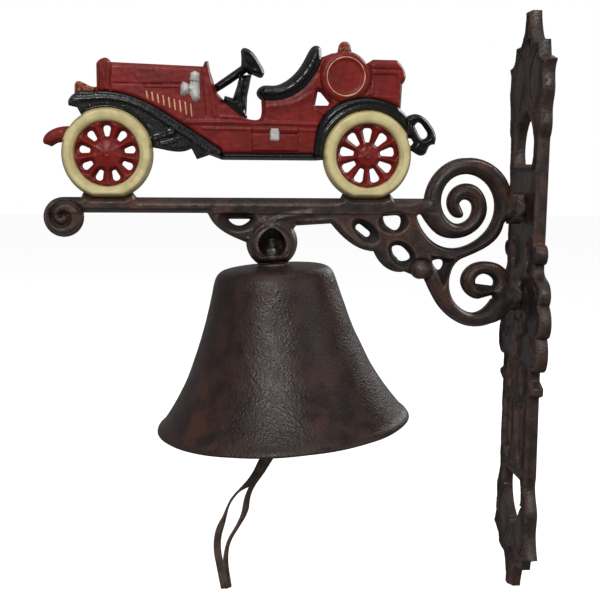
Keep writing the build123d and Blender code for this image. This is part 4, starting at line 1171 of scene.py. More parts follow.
# ---------------------------------------------------------------- wall plate
@dataclass
class WallPlate:
    """The long cast plate: finials, pointed ovals, columns, rosette, bud and stems in relief.

    Drawn in millimetres from the plate's centre: across to the viewer's right, and up.
    """

    wall: float = 4.4
    field: float = 5.3
    rim: float = 6.6
    hole_height: float = 147.0
    oval_half: Point2 = (12.6, 18.0)
    ovals: tuple[Point2, ...] = ((14.0, 127.6), (-14.0, 127.6), (14.4, -126.0), (-14.4, -126.0))
    columns: tuple[float, ...] = (20.6, -20.6)

    def build(self, frame: dict[str, Any]) -> Any:
        """Makes and dresses the plate."""
        self.outline = Outline.of_nodes(frame, ["wall_plate"], Facing.ROOM)
        plate = cast_shell("wall_plate_casting", self.outline, Facing.ROOM, self.faces, 0.62 * MM)
        return dress(plate, CAST_IRON.material(), "bracket", "cast_iron", "wall_plate")

    def faces(self, u: Array, v: Array) -> Relief:
        """Heights of the decorated face, over a back that lies flat on the wall."""
        x, z = u / MM, v / MM
        side = np.maximum(self.outline.signed(u, v) / MM, 0.0)
        rim = step_up(side, 0.2, 0.9) * (1.0 - step_up(side, 1.9, 3.1))
        height = self.wall + (self.field - self.wall) * rise(side, 1.2) + (self.rim - self.field) * rim
        wear_and_painted_light = bell_curve(side - 0.9, 0.6) * 0.6
        deep = bell_curve(side - 3.4, 0.7) * 0.45
        height, wear_and_painted_light, deep = self.pointed_ovals(x, z, height, wear_and_painted_light, deep)
        height, wear_and_painted_light, deep = self.middle(x, z, height, wear_and_painted_light, deep)
        for column in self.columns:
            inside = np.minimum(inside_box(x, z, (column - 1.1, 34.0), (column + 1.1, 104.0)), 1.0)
            inside = np.maximum(inside, inside_box(x, z, (column - 1.1, -106.0), (column + 1.1, -46.0)))
            height = height + 0.5 * step_up(inside, -1.2, 0.4)
        for centre in (self.hole_height, -self.hole_height):
            radius = np.hypot(x, z - centre)
            height = height - 1.9 * (1.0 - step_up(radius, 3.0, 5.4))
            deep = np.maximum(deep, (1.0 - step_up(radius, 3.2, 4.6)) * 0.9)
            wear_and_painted_light = np.maximum(wear_and_painted_light * (radius > 5), bell_curve(radius - 5.6, 0.5) * 0.6)
        tip = step_up(np.abs(z), 150.0, 158.0)
        height = height + 0.7 * tip * (1 - step_up(np.abs(x), 1.0, 4.0))
        height = height + 0.10 * sand_skin(x, z, 11, 9.0) + 0.05 * sand_skin(x, z, 12, 3.4)
        height = np.clip(height, 2.4, 7.8)
        return Relief(x, z, side, height, wear_and_painted_light, deep, back=np.zeros_like(height))

    def pointed_ovals(
        self, x: Array, z: Array, height: Array, wear_and_painted_light: Array, deep: Array
    ) -> tuple[Array, Array, Array]:
        """Adds two pairs of pointed ovals, each a domed leaf inside a raised outline.

        An oval's half width at a height is its half width times (1 - t^2).
        """
        for centre in self.ovals:
            share = np.clip((z - centre[1]) / self.oval_half[1], -1.0, 1.0)
            edge = self.oval_half[0] * (1.0 - share**2) - np.abs(x - centre[0])
            edge = np.where(np.abs(z - centre[1]) > self.oval_half[1], -9.0, edge)
            line = bell_curve(edge - 0.2, 0.9)
            trench = bell_curve(edge - 2.4, 0.8)
            dome = step_up(edge, 2.4, 7.5)
            inside = step_up(edge, -0.4, 0.4)
            height = height * (1 - inside) + inside * (self.field + 0.1 + 0.8 * dome)
            height = height + 0.6 * line - 0.8 * trench
            wear_and_painted_light = np.maximum(wear_and_painted_light * (1 - inside), line * 0.35)
            deep = np.maximum(deep * (1 - inside), trench * 0.8)
        return height, wear_and_painted_light, deep

    def middle(
        self, x: Array, z: Array, height: Array, wear_and_painted_light: Array, deep: Array
    ) -> tuple[Array, Array, Array]:
        """Adds the rosette, the bud under it and the three stems with their leaf tips.

        The rosette is a round boss with eight petals, its edge wavy as the cosine of eight turns.
        """
        radius, angle = np.hypot(x, z), np.arctan2(z, x)
        edge = 17.0 + 1.2 * np.cos(8 * angle) - radius
        petals = step_up(edge, 0.0, 1.6) * (1.1 + 0.5 * np.cos(8 * angle) * step_up(radius, 4.0, 9.0))
        ring = bell_curve(radius - 7.2, 1.0)
        height = height + petals - 0.8 * ring
        deep = np.maximum(deep, np.maximum(bell_curve(edge, 0.8), ring) * 0.8)
        bud = 1.0 - ellipse_reach(x, z, (0.0, -22.5), (5.6, 7.4))
        height = height + 1.5 * step_up(bud, 0.0, 0.5)
        deep = np.maximum(deep, bell_curve(bud, 0.09) * 0.7)
        for path in (
            ((0.0, -31.0), (0.0, -60.0), (0.0, -88.0)),
            ((4.4, -30.0), (5.6, -60.0), (4.2, -82.0), (1.6, -92.0)),
            ((-4.4, -30.0), (-5.6, -60.0), (-4.2, -82.0), (-1.6, -92.0)),
            ((17.6, -48.0), (16.6, -66.0), (18.4, -78.0), (16.8, -84.0)),
            ((-17.6, -48.0), (-16.6, -66.0), (-18.4, -78.0), (-16.8, -84.0)),
            ((20.0, 26.0), (24.0, 18.0), (31.0, 10.0)),
            ((-20.0, 26.0), (-24.0, 18.0), (-31.0, 10.0)),
            ((20.0, -14.0), (28.0, -20.0), (32.0, -4.0)),
            ((-20.0, -14.0), (-28.0, -20.0), (-32.0, -4.0)),
        ):
            gap = path_distance(x, z, smooth_path(path))
            height = height + 1.2 * bell_curve(gap, 1.2)
            wear_and_painted_light = np.maximum(wear_and_painted_light, bell_curve(gap, 0.8) * 0.7)
        return height, wear_and_painted_light, deep


# ---------------------------------------------------------------- car
@dataclass(frozen=True)
class Bead:
    """A rounded line in relief: raised where its height is positive, cut where it is negative."""

    path: tuple[Point2, ...]
    height: float
    width: float
    smooth: bool = True

    def distance(self, x: Array, z: Array) -> Array:
        """The distance of points to the line."""
        path = smooth_path(self.path) if self.smooth else np.asarray(self.path, dtype=float)
        return path_distance(x, z, path)


@dataclass(frozen=True)
class Panel:
    """An upright rectangle in relief, with soft edges, and a dark line round it."""

    low: Point2
    high: Point2
    height: float
    edge: float = 0.7

    def inside(self, x: Array, z: Array) -> Array:
        """How far inside the rectangle points are."""
        return inside_box(x, z, self.low, self.high)


@dataclass(frozen=True)
class CarPiece:
    """How one painted piece of the car stands out from the casting behind it.

    Attributes:
        nodes: Frame nodes that it stands for.
        finish: Its paint.
        slot: The record's material slot.
        level: Height of its face in millimetres.
        run: Width of its own rounded edge.
        cell: Grid size in millimetres.
        beads: Lines in relief.
        panels: Rectangles in relief.
        shape: An extra rule for its height, or None.
        brushed_and_painted_light: How strongly the second colour marks its raised edges; on black pieces partly
            a painted sheen.
    """

    nodes: tuple[str, ...]
    finish: EnamelFinish
    slot: str
    level: float
    run: float = 1.6
    cell: float = 0.36
    beads: tuple[Bead, ...] = ()
    panels: tuple[Panel, ...] = ()
    shape: str = ""
    brushed_and_painted_light: float = 0.3


FENDER_LINE: tuple[Point2, ...] = (
    (-24.0, 50.6), (-18.5, 51.0), (-10.0, 51.4), (0.0, 52.0), (9.7, 50.6), (16.8, 48.2), (23.8, 44.5),
    (30.9, 39.8), (38.0, 35.4), (45.2, 30.8), (52.3, 25.6), (56.5, 21.0), (58.0, 16.0),
)
BODY_BEADS: tuple[Bead, ...] = (
    Bead(((44.0, 40.6), (60.0, 40.8), (78.0, 40.6), (96.0, 40.4), (114.0, 40.0)), 0.9, 0.9),
    Bead(((52.0, 37.4), (78.0, 37.2), (98.0, 37.0), (113.0, 36.8)), 0.5, 0.6),
    Bead(((62.0, 43.6), (76.0, 43.2), (84.0, 43.4)), 0.5, 0.7),
    Bead(((20.4, 60.6), (39.6, 61.2)), -0.55, 0.45, False),
    Bead(((4.0, 60.9), (20.4, 60.6)), -0.4, 0.4, False),
    Bead(((3.0, 72.4), (2.2, 62.0), (2.6, 57.0)), -0.7, 0.5),
    Bead(((0.2, 73.6), (-0.8, 64.0), (0.0, 57.0)), 0.45, 0.8),
    Bead(((51.4, 72.0), (51.8, 61.0), (53.1, 44.4)), -0.55, 0.5),
    Bead(((54.6, 72.6), (55.6, 61.2), (57.8, 44.4)), 0.5, 0.8),
    Bead(((59.6, 56.0), (66.0, 49.4), (76.0, 43.6)), 0.5, 0.9),
    Bead(((78.5, 35.2), (103.3, 35.0)), -0.6, 0.45, False),
    Bead(((84.6, 53.0), (98.0, 54.6), (108.0, 60.2), (114.4, 68.0)), -0.4, 0.5),
    Bead(((86.0, 49.0), (100.0, 51.0), (110.0, 56.0)), 0.3, 1.4),
    Bead(((112.0, 50.0), (117.0, 46.0), (119.6, 44.0)), 0.5, 0.8),
)
BODY_PANELS: tuple[Panel, ...] = (
    Panel((78.5, 25.8), (103.3, 38.6), 0.75),
    Panel((20.4, 58.9), (39.8, 60.2), 0.35, 0.3),
)


@dataclass
class Car:
    """The open car cast on the bar, painted piece by piece.

    Drawn in millimetres: x from the front wheel's centre, z above the bar.
    """

    foot: Point2 = (-237.5, 62.5)
    base: float = 4.0
    base_run: float = 1.7
    wheel_base: float = 142.2
    tyre_radius: float = 24.8
    rim_radius: float = 17.2
    axle_height: float = 23.4
    tank_centre: Point2 = (129.3, 66.0)
    pieces: tuple[CarPiece, ...] = (
        CarPiece(("car_body",), RED_ENAMEL, "red_paint", 4.5, 0.8, 0.34, BODY_BEADS, BODY_PANELS),
        CarPiece(("fuel_tank",), RED_ENAMEL, "red_paint", 5.9, 1.9, 0.34, shape="drum"),
        CarPiece(("tank_cap",), RED_ENAMEL, "red_paint", 4.6, 1.0, 0.3, shape="gilt"),
        CarPiece(
            ("trunk",), RED_ENAMEL, "red_paint", 5.0, 1.4, 0.34,
            (Bead(((141.8, 70.4), (160.0, 70.2)), -0.6, 0.5, False),
             Bead(((142.6, 70.0), (142.4, 54.6)), -0.4, 0.5, False)),
            (Panel((144.6, 56.0), (157.8, 67.6), -0.7),),
        ),
        CarPiece(("front_lamp",), RED_ENAMEL, "red_paint", 4.6, 1.3, 0.3, shape="gilt"),
        CarPiece(("spring_end",), RED_ENAMEL, "red_paint", 3.6, 1.3, 0.3),
        CarPiece(
            ("front_fender",), BLACK_ENAMEL, "black_paint", 6.8, 1.3, 0.36, shape="front_fender", brushed_and_painted_light=0.8
        ),
        CarPiece(("rear_fender",), BLACK_ENAMEL, "black_paint", 6.6, 2.2, 0.36, shape="rear_fender"),
        CarPiece(("running_board",), BLACK_ENAMEL, "black_paint", 6.8, 1.5, 0.36),
        CarPiece(("seat_cushion",), BLACK_ENAMEL, "black_paint", 6.6, 3.6, 0.32, shape="seat"),
        CarPiece(
            ("brake_levers",), BLACK_ENAMEL, "black_paint", 4.2, 1.0, 0.24,
            (Bead(((72.4, 66.0), (71.2, 60.0), (69.4, 54.0)), 0.9, 0.7),
             Bead(((77.4, 66.2), (74.8, 55.0), (74.2, 46.6)), 1.1, 0.8),
             Bead(((74.6, 66.0), (72.8, 57.0), (71.6, 50.6)), -1.0, 0.7)),
        ),
        CarPiece(
            ("pedals",), BLACK_ENAMEL, "black_paint", 4.4, 0.9, 0.26,
            (Bead(((64.0, 53.8), (68.4, 51.6), (73.4, 46.0)), 0.9, 0.8),
             Bead(((66.6, 54.0), (70.8, 50.4)), -0.8, 0.5)),
        ),
        CarPiece(
            ("steering_wheel",), BLACK_ENAMEL, "black_paint", 4.8, 1.8, 0.28,
            (Bead(((73.4, 79.6), (78.6, 76.0), (82.6, 70.0), (84.0, 66.0)), 0.9, 0.9),
             Bead(((75.4, 72.6), (79.6, 70.0)), -0.7, 0.8)),
        ),
        CarPiece(("steering_column",), BLACK_ENAMEL, "black_paint", 3.0, 1.2, 0.28),
        CarPiece(("tail_loop",), BLACK_ENAMEL, "black_paint", 3.6, 1.6, 0.32),
        CarPiece(("front_tyre",), CREAM_ENAMEL, "cream_paint", 6.0, 1.2, 0.38, shape="front_tyre"),
        CarPiece(("rear_tyre",), CREAM_ENAMEL, "cream_paint", 6.0, 1.2, 0.38, shape="rear_tyre"),
        CarPiece(("front_wheel",), RED_ENAMEL, "red_paint", 3.6, 0.9, 0.32, shape="front_wheel"),
        CarPiece(("rear_wheel",), RED_ENAMEL, "red_paint", 3.6, 0.9, 0.32, shape="rear_wheel"),
    )

    def build(self, frame: dict[str, Any]) -> None:
        """Makes and dresses every piece of the car."""
        nodes = [name for piece in self.pieces for name in piece.nodes]
        self.whole = Outline.of_nodes(frame, nodes, Facing.FRONT)
        paints: dict[str, Any] = {}
        for piece in self.pieces:
            outline = Outline.of_nodes(frame, piece.nodes, Facing.FRONT)
            shell = cast_shell(
                f"{piece.nodes[0]}_casting", outline, Facing.FRONT,
                lambda u, v, piece=piece, outline=outline: self.faces(piece, outline, u, v), piece.cell * MM,
            )
            if piece.finish.name not in paints:
                paints[piece.finish.name] = piece.finish.material()
            paint = paints[piece.finish.name]
            dress(shell, paint, "bracket", piece.slot, *piece.nodes)
        self.trim(frame)

    def local(self, u: Array, v: Array) -> tuple[Array, Array]:
        """Points in the car's own millimetres."""
        return u / MM - self.foot[0], v / MM - self.foot[1]

    def ground(self, u: Array, v: Array) -> Array:
        """Height of the casting that all the pieces share, rounded at the whole car's outline."""
        whole = np.maximum(self.whole.signed(u, v) / MM, 0.0)
        return np.maximum(self.base * rise(whole, self.base_run, 0.6), 0.5)

    def faces(self, piece: CarPiece, outline: Outline, u: Array, v: Array) -> Relief:
        """Heights of a piece: the shared casting, plus what the piece adds inside its own edge."""
        x, z = self.local(u, v)
        own = np.maximum(outline.signed(u, v) / MM, 0.0)
        whole = np.maximum(self.whole.signed(u, v) / MM, 0.0)
        edge = rise(own, piece.run, 0.7)
        height = self.ground(u, v) + (piece.level - self.base) * edge
        # Second colour along each piece's rounded shoulder; on the black pieces this is partly a painted sheen.
        wear_and_painted_light = bell_curve(own - 0.8 * piece.run, 0.6 * piece.run) * piece.brushed_and_painted_light * 0.5
        deep = bell_curve(own, 0.5) * 0.55 * step_up(whole, 0.8, 1.6)
        gilt = np.zeros_like(x)
        inner = rise(own, 0.7)
        for bead in piece.beads:
            gap = bead.distance(x, z)
            height = height + bead.height * bell_curve(gap, bead.width) * inner
            if bead.height < 0:
                deep = np.maximum(deep, bell_curve(gap, bead.width) * 0.6)
            else:
                deep = np.maximum(deep, bell_curve(gap - 2.0 * bead.width, bead.width * 0.7) * 0.3)
        for panel in piece.panels:
            inside = panel.inside(x, z)
            height = height + panel.height * step_up(inside, -panel.edge / 2, panel.edge / 2) * inner
            deep = np.maximum(deep, bell_curve(inside + math.copysign(0.3, panel.height), 0.4) * 0.6)
        if piece.shape:
            height, wear_and_painted_light, deep, gilt = self.shapes(piece.shape, x, z, own, height, wear_and_painted_light, deep, gilt)
        height = height + 0.045 * sand_skin(x, z, 21, 4.0) * inner
        return Relief(x, z, own, height, wear_and_painted_light, deep, gilt)

    def shapes(
        self, shape: str, x: Array, z: Array, own: Array, height: Array, wear_and_painted_light: Array, deep: Array, gilt: Array
    ) -> tuple[Array, Array, Array, Array]:
        """The rule of a piece that is more than a rounded slab.

        Args:
            shape: Name of the rule.
            x: Across, in the car's millimetres.
            z: Up.
            own: Distance inside the piece's own outline.
            height: Height so far.
            wear_and_painted_light: Mark so far.
            deep: Mark so far.
            gilt: Mark so far.

        Returns:
            The new height and marks.
        """
        if shape == "drum":
            radius = np.hypot(x - self.tank_centre[0], z - self.tank_centre[1])
            height = height - 0.55 * (1 - step_up(radius, 8.4, 9.6)) + 0.25 * bell_curve(radius - 12.4, 0.9)
            gilt = bell_curve(own - 0.5, 0.5) * step_up(x, 112.0, 119.0) * 0.12
        elif shape == "gilt":
            gilt = bell_curve(own - 0.6, 0.9) * 0.75
        elif shape == "seat":
            height = height + 0.7 * step_up(own, 2.0, 3.6)
            pleat = np.abs(((x * 0.7 + z * 0.7) / 5.2) % 1.0 - 0.5)
            height = height - 0.22 * bell_curve(pleat - 0.5, 0.09) * step_up(own, 1.0, 2.4)
        elif shape == "front_fender":
            height, wear_and_painted_light, deep = self.front_fender(x, z, own, height, wear_and_painted_light, deep)
        elif shape == "rear_fender":
            wheel = np.hypot(x - self.wheel_base, z - self.axle_height)
            height = height + 0.7 * bell_curve(wheel - 26.2, 0.7) - 0.8 * bell_curve(wheel - 28.2, 0.8)
            deep = np.maximum(deep, bell_curve(wheel - 28.2, 0.7) * 0.4)
        elif shape in ("front_tyre", "front_wheel"):
            height, wear_and_painted_light, deep = self.wheel(shape, x, z, height, wear_and_painted_light, deep)
        else:
            height, wear_and_painted_light, deep = self.wheel(shape, x - self.wheel_base, z, height, wear_and_painted_light, deep)
        return height, wear_and_painted_light, deep, gilt

    def front_fender(
        self, x: Array, z: Array, own: Array, height: Array, wear_and_painted_light: Array, deep: Array
    ) -> tuple[Array, Array, Array]:
        """A crowned band over a sunk valance, with the spring and its shackle on the valance."""
        line = smooth_path(FENDER_LINE)
        above = z - np.interp(x, line[:, 0], line[:, 1])
        gap = path_distance(x, z, line) * np.sign(above)
        band = step_up(gap, -0.5, 0.7)
        height = height - 2.6 * (1.0 - band) * rise(own, 1.0)
        height = height + 0.55 * bell_curve(gap - 0.9, 0.8) + 0.3 * bell_curve(own - 1.1, 0.7) * band
        height = height - 0.45 * bell_curve(gap - 2.6, 0.8) * band
        spring = path_distance(x, z, smooth_path(((22.0, 30.4), (29.0, 32.6), (36.6, 35.2))))
        leaf = path_distance(x, z, smooth_path(((24.0, 27.6), (30.0, 28.8), (38.0, 31.0))))
        boss = np.hypot(x - 34.2, z - 35.4)
        low = 1.0 - band
        height = height + (1.5 * bell_curve(spring, 1.1) + 1.0 * bell_curve(leaf, 0.7)) * low * rise(own, 1.2)
        height = height + 1.6 * (1.0 - step_up(boss, 1.8, 2.9)) * low
        rib = np.abs(((x - 0.35 * z) / 8.6) % 1.0 - 0.5)
        height = height - 0.4 * bell_curve(rib - 0.5, 0.07) * low * step_up(own, 1.2, 2.6)
        deep = np.maximum(deep, bell_curve(gap + 1.2, 0.8) * 0.7)
        # Grey over the band and the valance: partly grey paint from a dry brush, partly a painted sheen.
        wear_and_painted_light = np.clip(0.62 * band * step_up(own, 0.5, 1.4) + 0.55 * low * step_up(own, 1.0, 2.4), 0.0, 1.0)
        return height, wear_and_painted_light, deep

    def wheel(
        self, shape: str, x: Array, z: Array, height: Array, wear_and_painted_light: Array, deep: Array
    ) -> tuple[Array, Array, Array]:
        """A round tyre as a half torus, or a spoked wheel with a raised hub, felloe and spoke ridges."""
        radius, angle = np.hypot(x, z - self.axle_height), np.arctan2(z - self.axle_height, x)
        if shape.endswith("tyre"):
            middle = (self.tyre_radius + self.rim_radius) / 2 + 0.5
            share = np.clip((radius - middle) / 3.6, -1.0, 1.0)
            wave = 0.5 + 0.5 * np.sin(3 * angle + 1.0) * np.sin(5 * angle + 2.0)
            height = height + 1.1 * np.sqrt(1.0 - share**2) - 0.6
            height = height + 0.35 * bell_curve(radius - self.rim_radius - 0.9, 0.6)
            # Olive-brown at the rim grooves and, in patches, at the outer edge, with dark brown there too:
            # painted shade.
            deep = np.maximum(deep * 0.6, bell_curve(radius - self.rim_radius, 0.6) * 0.9)
            deep = np.maximum(deep, bell_curve(radius - self.rim_radius - 2.0, 0.6) * 0.5 * (0.4 + wave))
            deep = np.maximum(deep, bell_curve(radius - self.tyre_radius + 0.2, 1.0) * (0.35 + 0.5 * wave))
            wear_and_painted_light = bell_curve(radius - self.tyre_radius, 0.7) * 0.6 * wave
            return height, wear_and_painted_light, deep
        spoke = np.abs((angle / TURN * 9 + 0.25) % 1.0 - 0.5)
        hub = 1.0 - step_up(radius, 1.5, 8.0)
        height = height + 1.1 * hub + 0.55 * bell_curve(radius - 16.0, 0.8)
        height = height + 0.35 * bell_curve((0.5 - spoke) * radius, 0.9) * (1 - hub)
        height = height + 0.5 * (1.0 - step_up(radius, 1.3, 2.3)) - 0.35 * (1.0 - step_up(radius, 0.5, 1.1))
        deep = np.maximum(deep * 0.7, bell_curve(radius - self.rim_radius, 0.55) * 0.7)
        deep = np.maximum(deep, bell_curve(radius - 2.6, 0.5) * 0.35)
        return height, wear_and_painted_light, deep

    def trim(self, frame: dict[str, Any]) -> None:
        """Adds the lamps, step plates, louvres and hoops on both faces of the casting."""
        for node, finish, slot, seat, lift, run in (
            ("side_lamps", SILVER_ENAMEL, "silver_paint", 4.4, 2.5, 1.5),
            ("step_plates", SILVER_ENAMEL, "silver_paint", 5.0, 1.0, 0.8),
            ("louvres", GOLD_ENAMEL, "gold_paint", 4.4, 0.55, 0.5),
            ("tank_hoops", GOLD_ENAMEL, "gold_paint", 5.6, 0.55, 0.5),
        ):
            outline = Outline.of_nodes(frame, [node], Facing.FRONT)
            sides = []
            for way in (1, -1):
                def faces(u: Array, v: Array, way: int = way) -> Relief:
                    """A thin rounded plate that stands on one face of the casting."""
                    x, z = self.local(u, v)
                    own = np.maximum(outline.signed(u, v) / MM, 0.0)
                    top = seat + lift * rise(own, run, 0.8)
                    wear_and_painted_light = bell_curve(own, 0.35) * 0.7
                    if node == "side_lamps":
                        top, wear_and_painted_light = self.lamp(x, z, own, top, wear_and_painted_light)
                    foot = np.full_like(top, seat - 0.7)
                    if way > 0:
                        return Relief(x, z, own, top, wear_and_painted_light, back=-foot)
                    return Relief(x, z, own, -foot, wear_and_painted_light, back=top)

                sides.append(cast_shell(f"{node}_{way}", outline, Facing.FRONT, faces, 0.2 * MM))
            dress(join(f"{node}_trim", sides), finish.material(), "bracket", slot, node)

    def lamp(self, x: Array, z: Array, own: Array, top: Array, wear_and_painted_light: Array) -> tuple[Array, Array]:
        """Shapes a side lamp: a chimney, a round glass on a stalk, and a drum at its foot."""
        glass = np.hypot(x - 41.8, z - 57.2)
        chimney = np.hypot((x - 47.7), (z - 65.4) * 0.8)
        drum = np.hypot(x - 48.4, z - 54.6)
        top = top + 0.7 * bell_curve(glass, 1.8) + 0.6 * bell_curve(chimney, 1.8) + 0.6 * bell_curve(drum, 2.0)
        cut = path_distance(x, z, np.array(((44.4, 62.6), (50.6, 61.6))))
        cross = path_distance(x, z, np.array(((44.0, 61.4), (44.8, 54.6))))
        lines = bell_curve(cut, 0.5) + bell_curve(cross, 0.45)
        return top - 0.9 * lines * rise(own, 0.6), np.maximum(wear_and_painted_light, np.clip(lines, 0, 1) * 0.9)


# ---------------------------------------------------------------- bell and hanger
def wire_ring(name: str, centre: Vector, axis: Vector, radius: float, wire: float) -> Any:
    """A ring of round wire about an axis, sizes in metres."""
    side = np.array(axis.orthogonal().normalized())
    front = np.cross(np.array(axis.normalized()), side)
    angle = (np.arange(48) * TURN / 48)[:, None]
    spoke = np.cos(angle) * side + np.sin(angle) * front
    return tube(name, np.array(centre) + radius * spoke, spoke, True, round_section(wire))


@dataclass
class BellAndHanger:
    """The flared bell, and the bolt, nut and washers that hang it in the eye.

    Heights are in millimetres above the seat in the eye's foot, along the leaning axis.
    """

    seat: Vector
    up: Vector
    crown: float = -1.5
    radius: float = 71.5
    height: float = 90.0
    crown_wall: float = 6.0
    bore: float = 2.7
    shank: float = 2.5
    shank_top: float = 13.5
    washer: float = 9.0
    washer_thickness: float = 1.2
    nut_washer: float = 5.2
    nut_width: float = 8.0
    nut_height: float = 4.0
    eye_floor: float = 3.0
    collar: Point2 = (5.0, 3.0)
    bolt_eye: Point2 = (5.0, 1.6)
    pitch: float = 0.9

    def build(self) -> None:
        """Makes and dresses the bell and its hardware."""
        zinc = ZINC.material()
        bell = lathe(
            "bell_casting", self.bell_profile(), self.seat, self.up, 300,
            skin=((0.18 * MM, 24 * MM, 3), (0.025 * MM, 7.5 * MM, 4), (0.016 * MM, 2.1 * MM, 5)),
        )
        dress(bell, BELL_IRON.material(), "bell", "bell_iron", "bell")
        under = self.crown - self.crown_wall
        for node, foot, radius in (
            ("crown_washer", self.crown, self.washer),
            ("inner_washer", under - self.washer_thickness, self.washer),
            ("nut_washer", self.eye_floor, self.nut_washer),
        ):
            dress(self.flat_washer(f"{node}_plate", foot, radius), zinc, "bell", "steel", node)
        dress(self.hex_nut(), zinc, "bell", "steel", "hanger_nut")
        dress(self.eye_bolt(under - self.washer_thickness), zinc, "bell", "steel", "hanger_bolt")

    def at(self, height: float) -> Vector:
        """The point on the axis at a height in millimetres."""
        return self.seat + self.up * height * MM

    def bell_profile(self) -> Array:
        """The bell's wall: a flat crown, a tight shoulder, a waist and a wide flare to a rounded lip."""
        top, low = self.crown, self.crown - self.height
        outer = smooth_path((
            (self.bore, top), (9.0, top), (18.0, top - 0.25), (25.4, top - 0.8), (29.6, top - 2.0),
            (32.5, top - 4.6),
            (34.2, top - 9.0), (35.3, top - 13.4), (37.6, top - 21.5), (41.2, top - 33.0),
            (45.2, top - 44.0), (51.6, top - 58.7),
            (59.0, top - 72.0), (67.0, top - 83.5), (self.radius - 1.0, low + 3.0),
        ), 9)
        lip = smooth_path((
            (self.radius - 0.3, low + 1.9), (self.radius, low + 1.0), (self.radius - 0.6, low + 0.25),
            (self.radius - 1.8, low), (self.radius - 3.4, low + 0.1), (self.radius - 4.6, low + 0.9),
        ), 4)
        inner = smooth_path((
            (self.radius - 6.0, low + 3.0), (62.4, top - 83.0), (54.6, top - 71.6), (47.0, top - 58.2),
            (40.5, top - 43.6), (35.6, top - 29.0), (31.4, top - 16.0), (27.6, top - 9.0), (21.0, top - 6.1),
            (12.0, top - self.crown_wall), (self.bore, top - self.crown_wall),
        ), 6)
        return np.vstack((outer, lip, inner)) * MM

    def flat_washer(self, name: str, foot: float, radius: float) -> Any:
        """A stamped washer: one edge rolled over by the punch."""
        thick = self.washer_thickness
        profile = rounded_profile(
            ((self.bore, foot), (radius, foot), (radius, foot + thick), (self.bore, foot + thick)),
            (0.15, 0.2, 0.5, 0.3),
        )
        return lathe(name, profile * MM, self.seat, self.up, 64)

    def hex_nut(self) -> Any:
        """A hexagon nut, its corners cut by a cone at top and bottom.

        The radius at an angle is half the width over the cosine of the angle from the flat's middle.
        """
        foot = self.eye_floor + self.washer_thickness
        top, corner = foot + self.nut_height, self.nut_width / 2 / math.cos(math.pi / 6)
        half = self.nut_width / 2
        profile = np.array((
            (self.shank, foot + 0.5), (self.shank + 0.5, foot), (half * 0.97, foot), (corner, foot + 0.75),
            (corner, top - 0.75), (half * 0.97, top), (self.shank + 0.5, top), (self.shank, top - 0.5),
        ))

        def hexagon(angle: Array, radius: Array, height: Array) -> Array:
            """Keeps the radius inside the six flats."""
            return np.minimum(radius, half * MM / np.cos((angle % (TURN / 6)) - TURN / 12))

        return lathe("hanger_nut_hex", profile * MM, self.seat, self.up, 72, hexagon)

    def eye_bolt(self, collar_top: float) -> Any:
        """A threaded shank with a collar and a wire eye below it.

        The thread's depth is a triangle wave of height over pitch plus the angle's share of a turn.
        """
        foot = collar_top - self.collar[1]
        rows = np.linspace(
            collar_top + 0.3, self.shank_top - 0.5, int((self.shank_top - collar_top) / self.pitch * 8)
        )
        shank = np.column_stack((np.full_like(rows, self.shank), rows))
        collar = rounded_profile(((self.collar[0], foot), (self.collar[0], collar_top)), (0.0, 0.0))
        profile = np.vstack((
            ((0.0, foot - 0.3), (self.collar[0] - 0.9, foot)), collar,
            ((self.shank + 0.05, collar_top),), shank,
            ((self.shank - 0.7, self.shank_top), (0.0, self.shank_top + 0.02)),
        ))

        def thread(angle: Array, radius: Array, height: Array) -> Array:
            """Cuts the thread into the shank only."""
            wave = np.abs((height / (self.pitch * MM) + angle / TURN) % 1.0 - 0.5) * 2.0
            on_shank = (radius > (self.shank - 0.02) * MM) & (radius < (self.shank + 0.02) * MM)
            return np.where(on_shank, radius - wave * 0.42 * MM, radius)

        bolt = lathe("eye_bolt_shank", profile * MM, self.seat, self.up, 40, thread)
        centre = self.at(foot - self.bolt_eye[0] - self.bolt_eye[1] + 0.6)
        eye = wire_ring(
            "eye_bolt_eye", centre, Vector((0, 1, 0)), self.bolt_eye[0] * MM, self.bolt_eye[1] * MM
        )
        return join("eye_bolt", [bolt, eye])


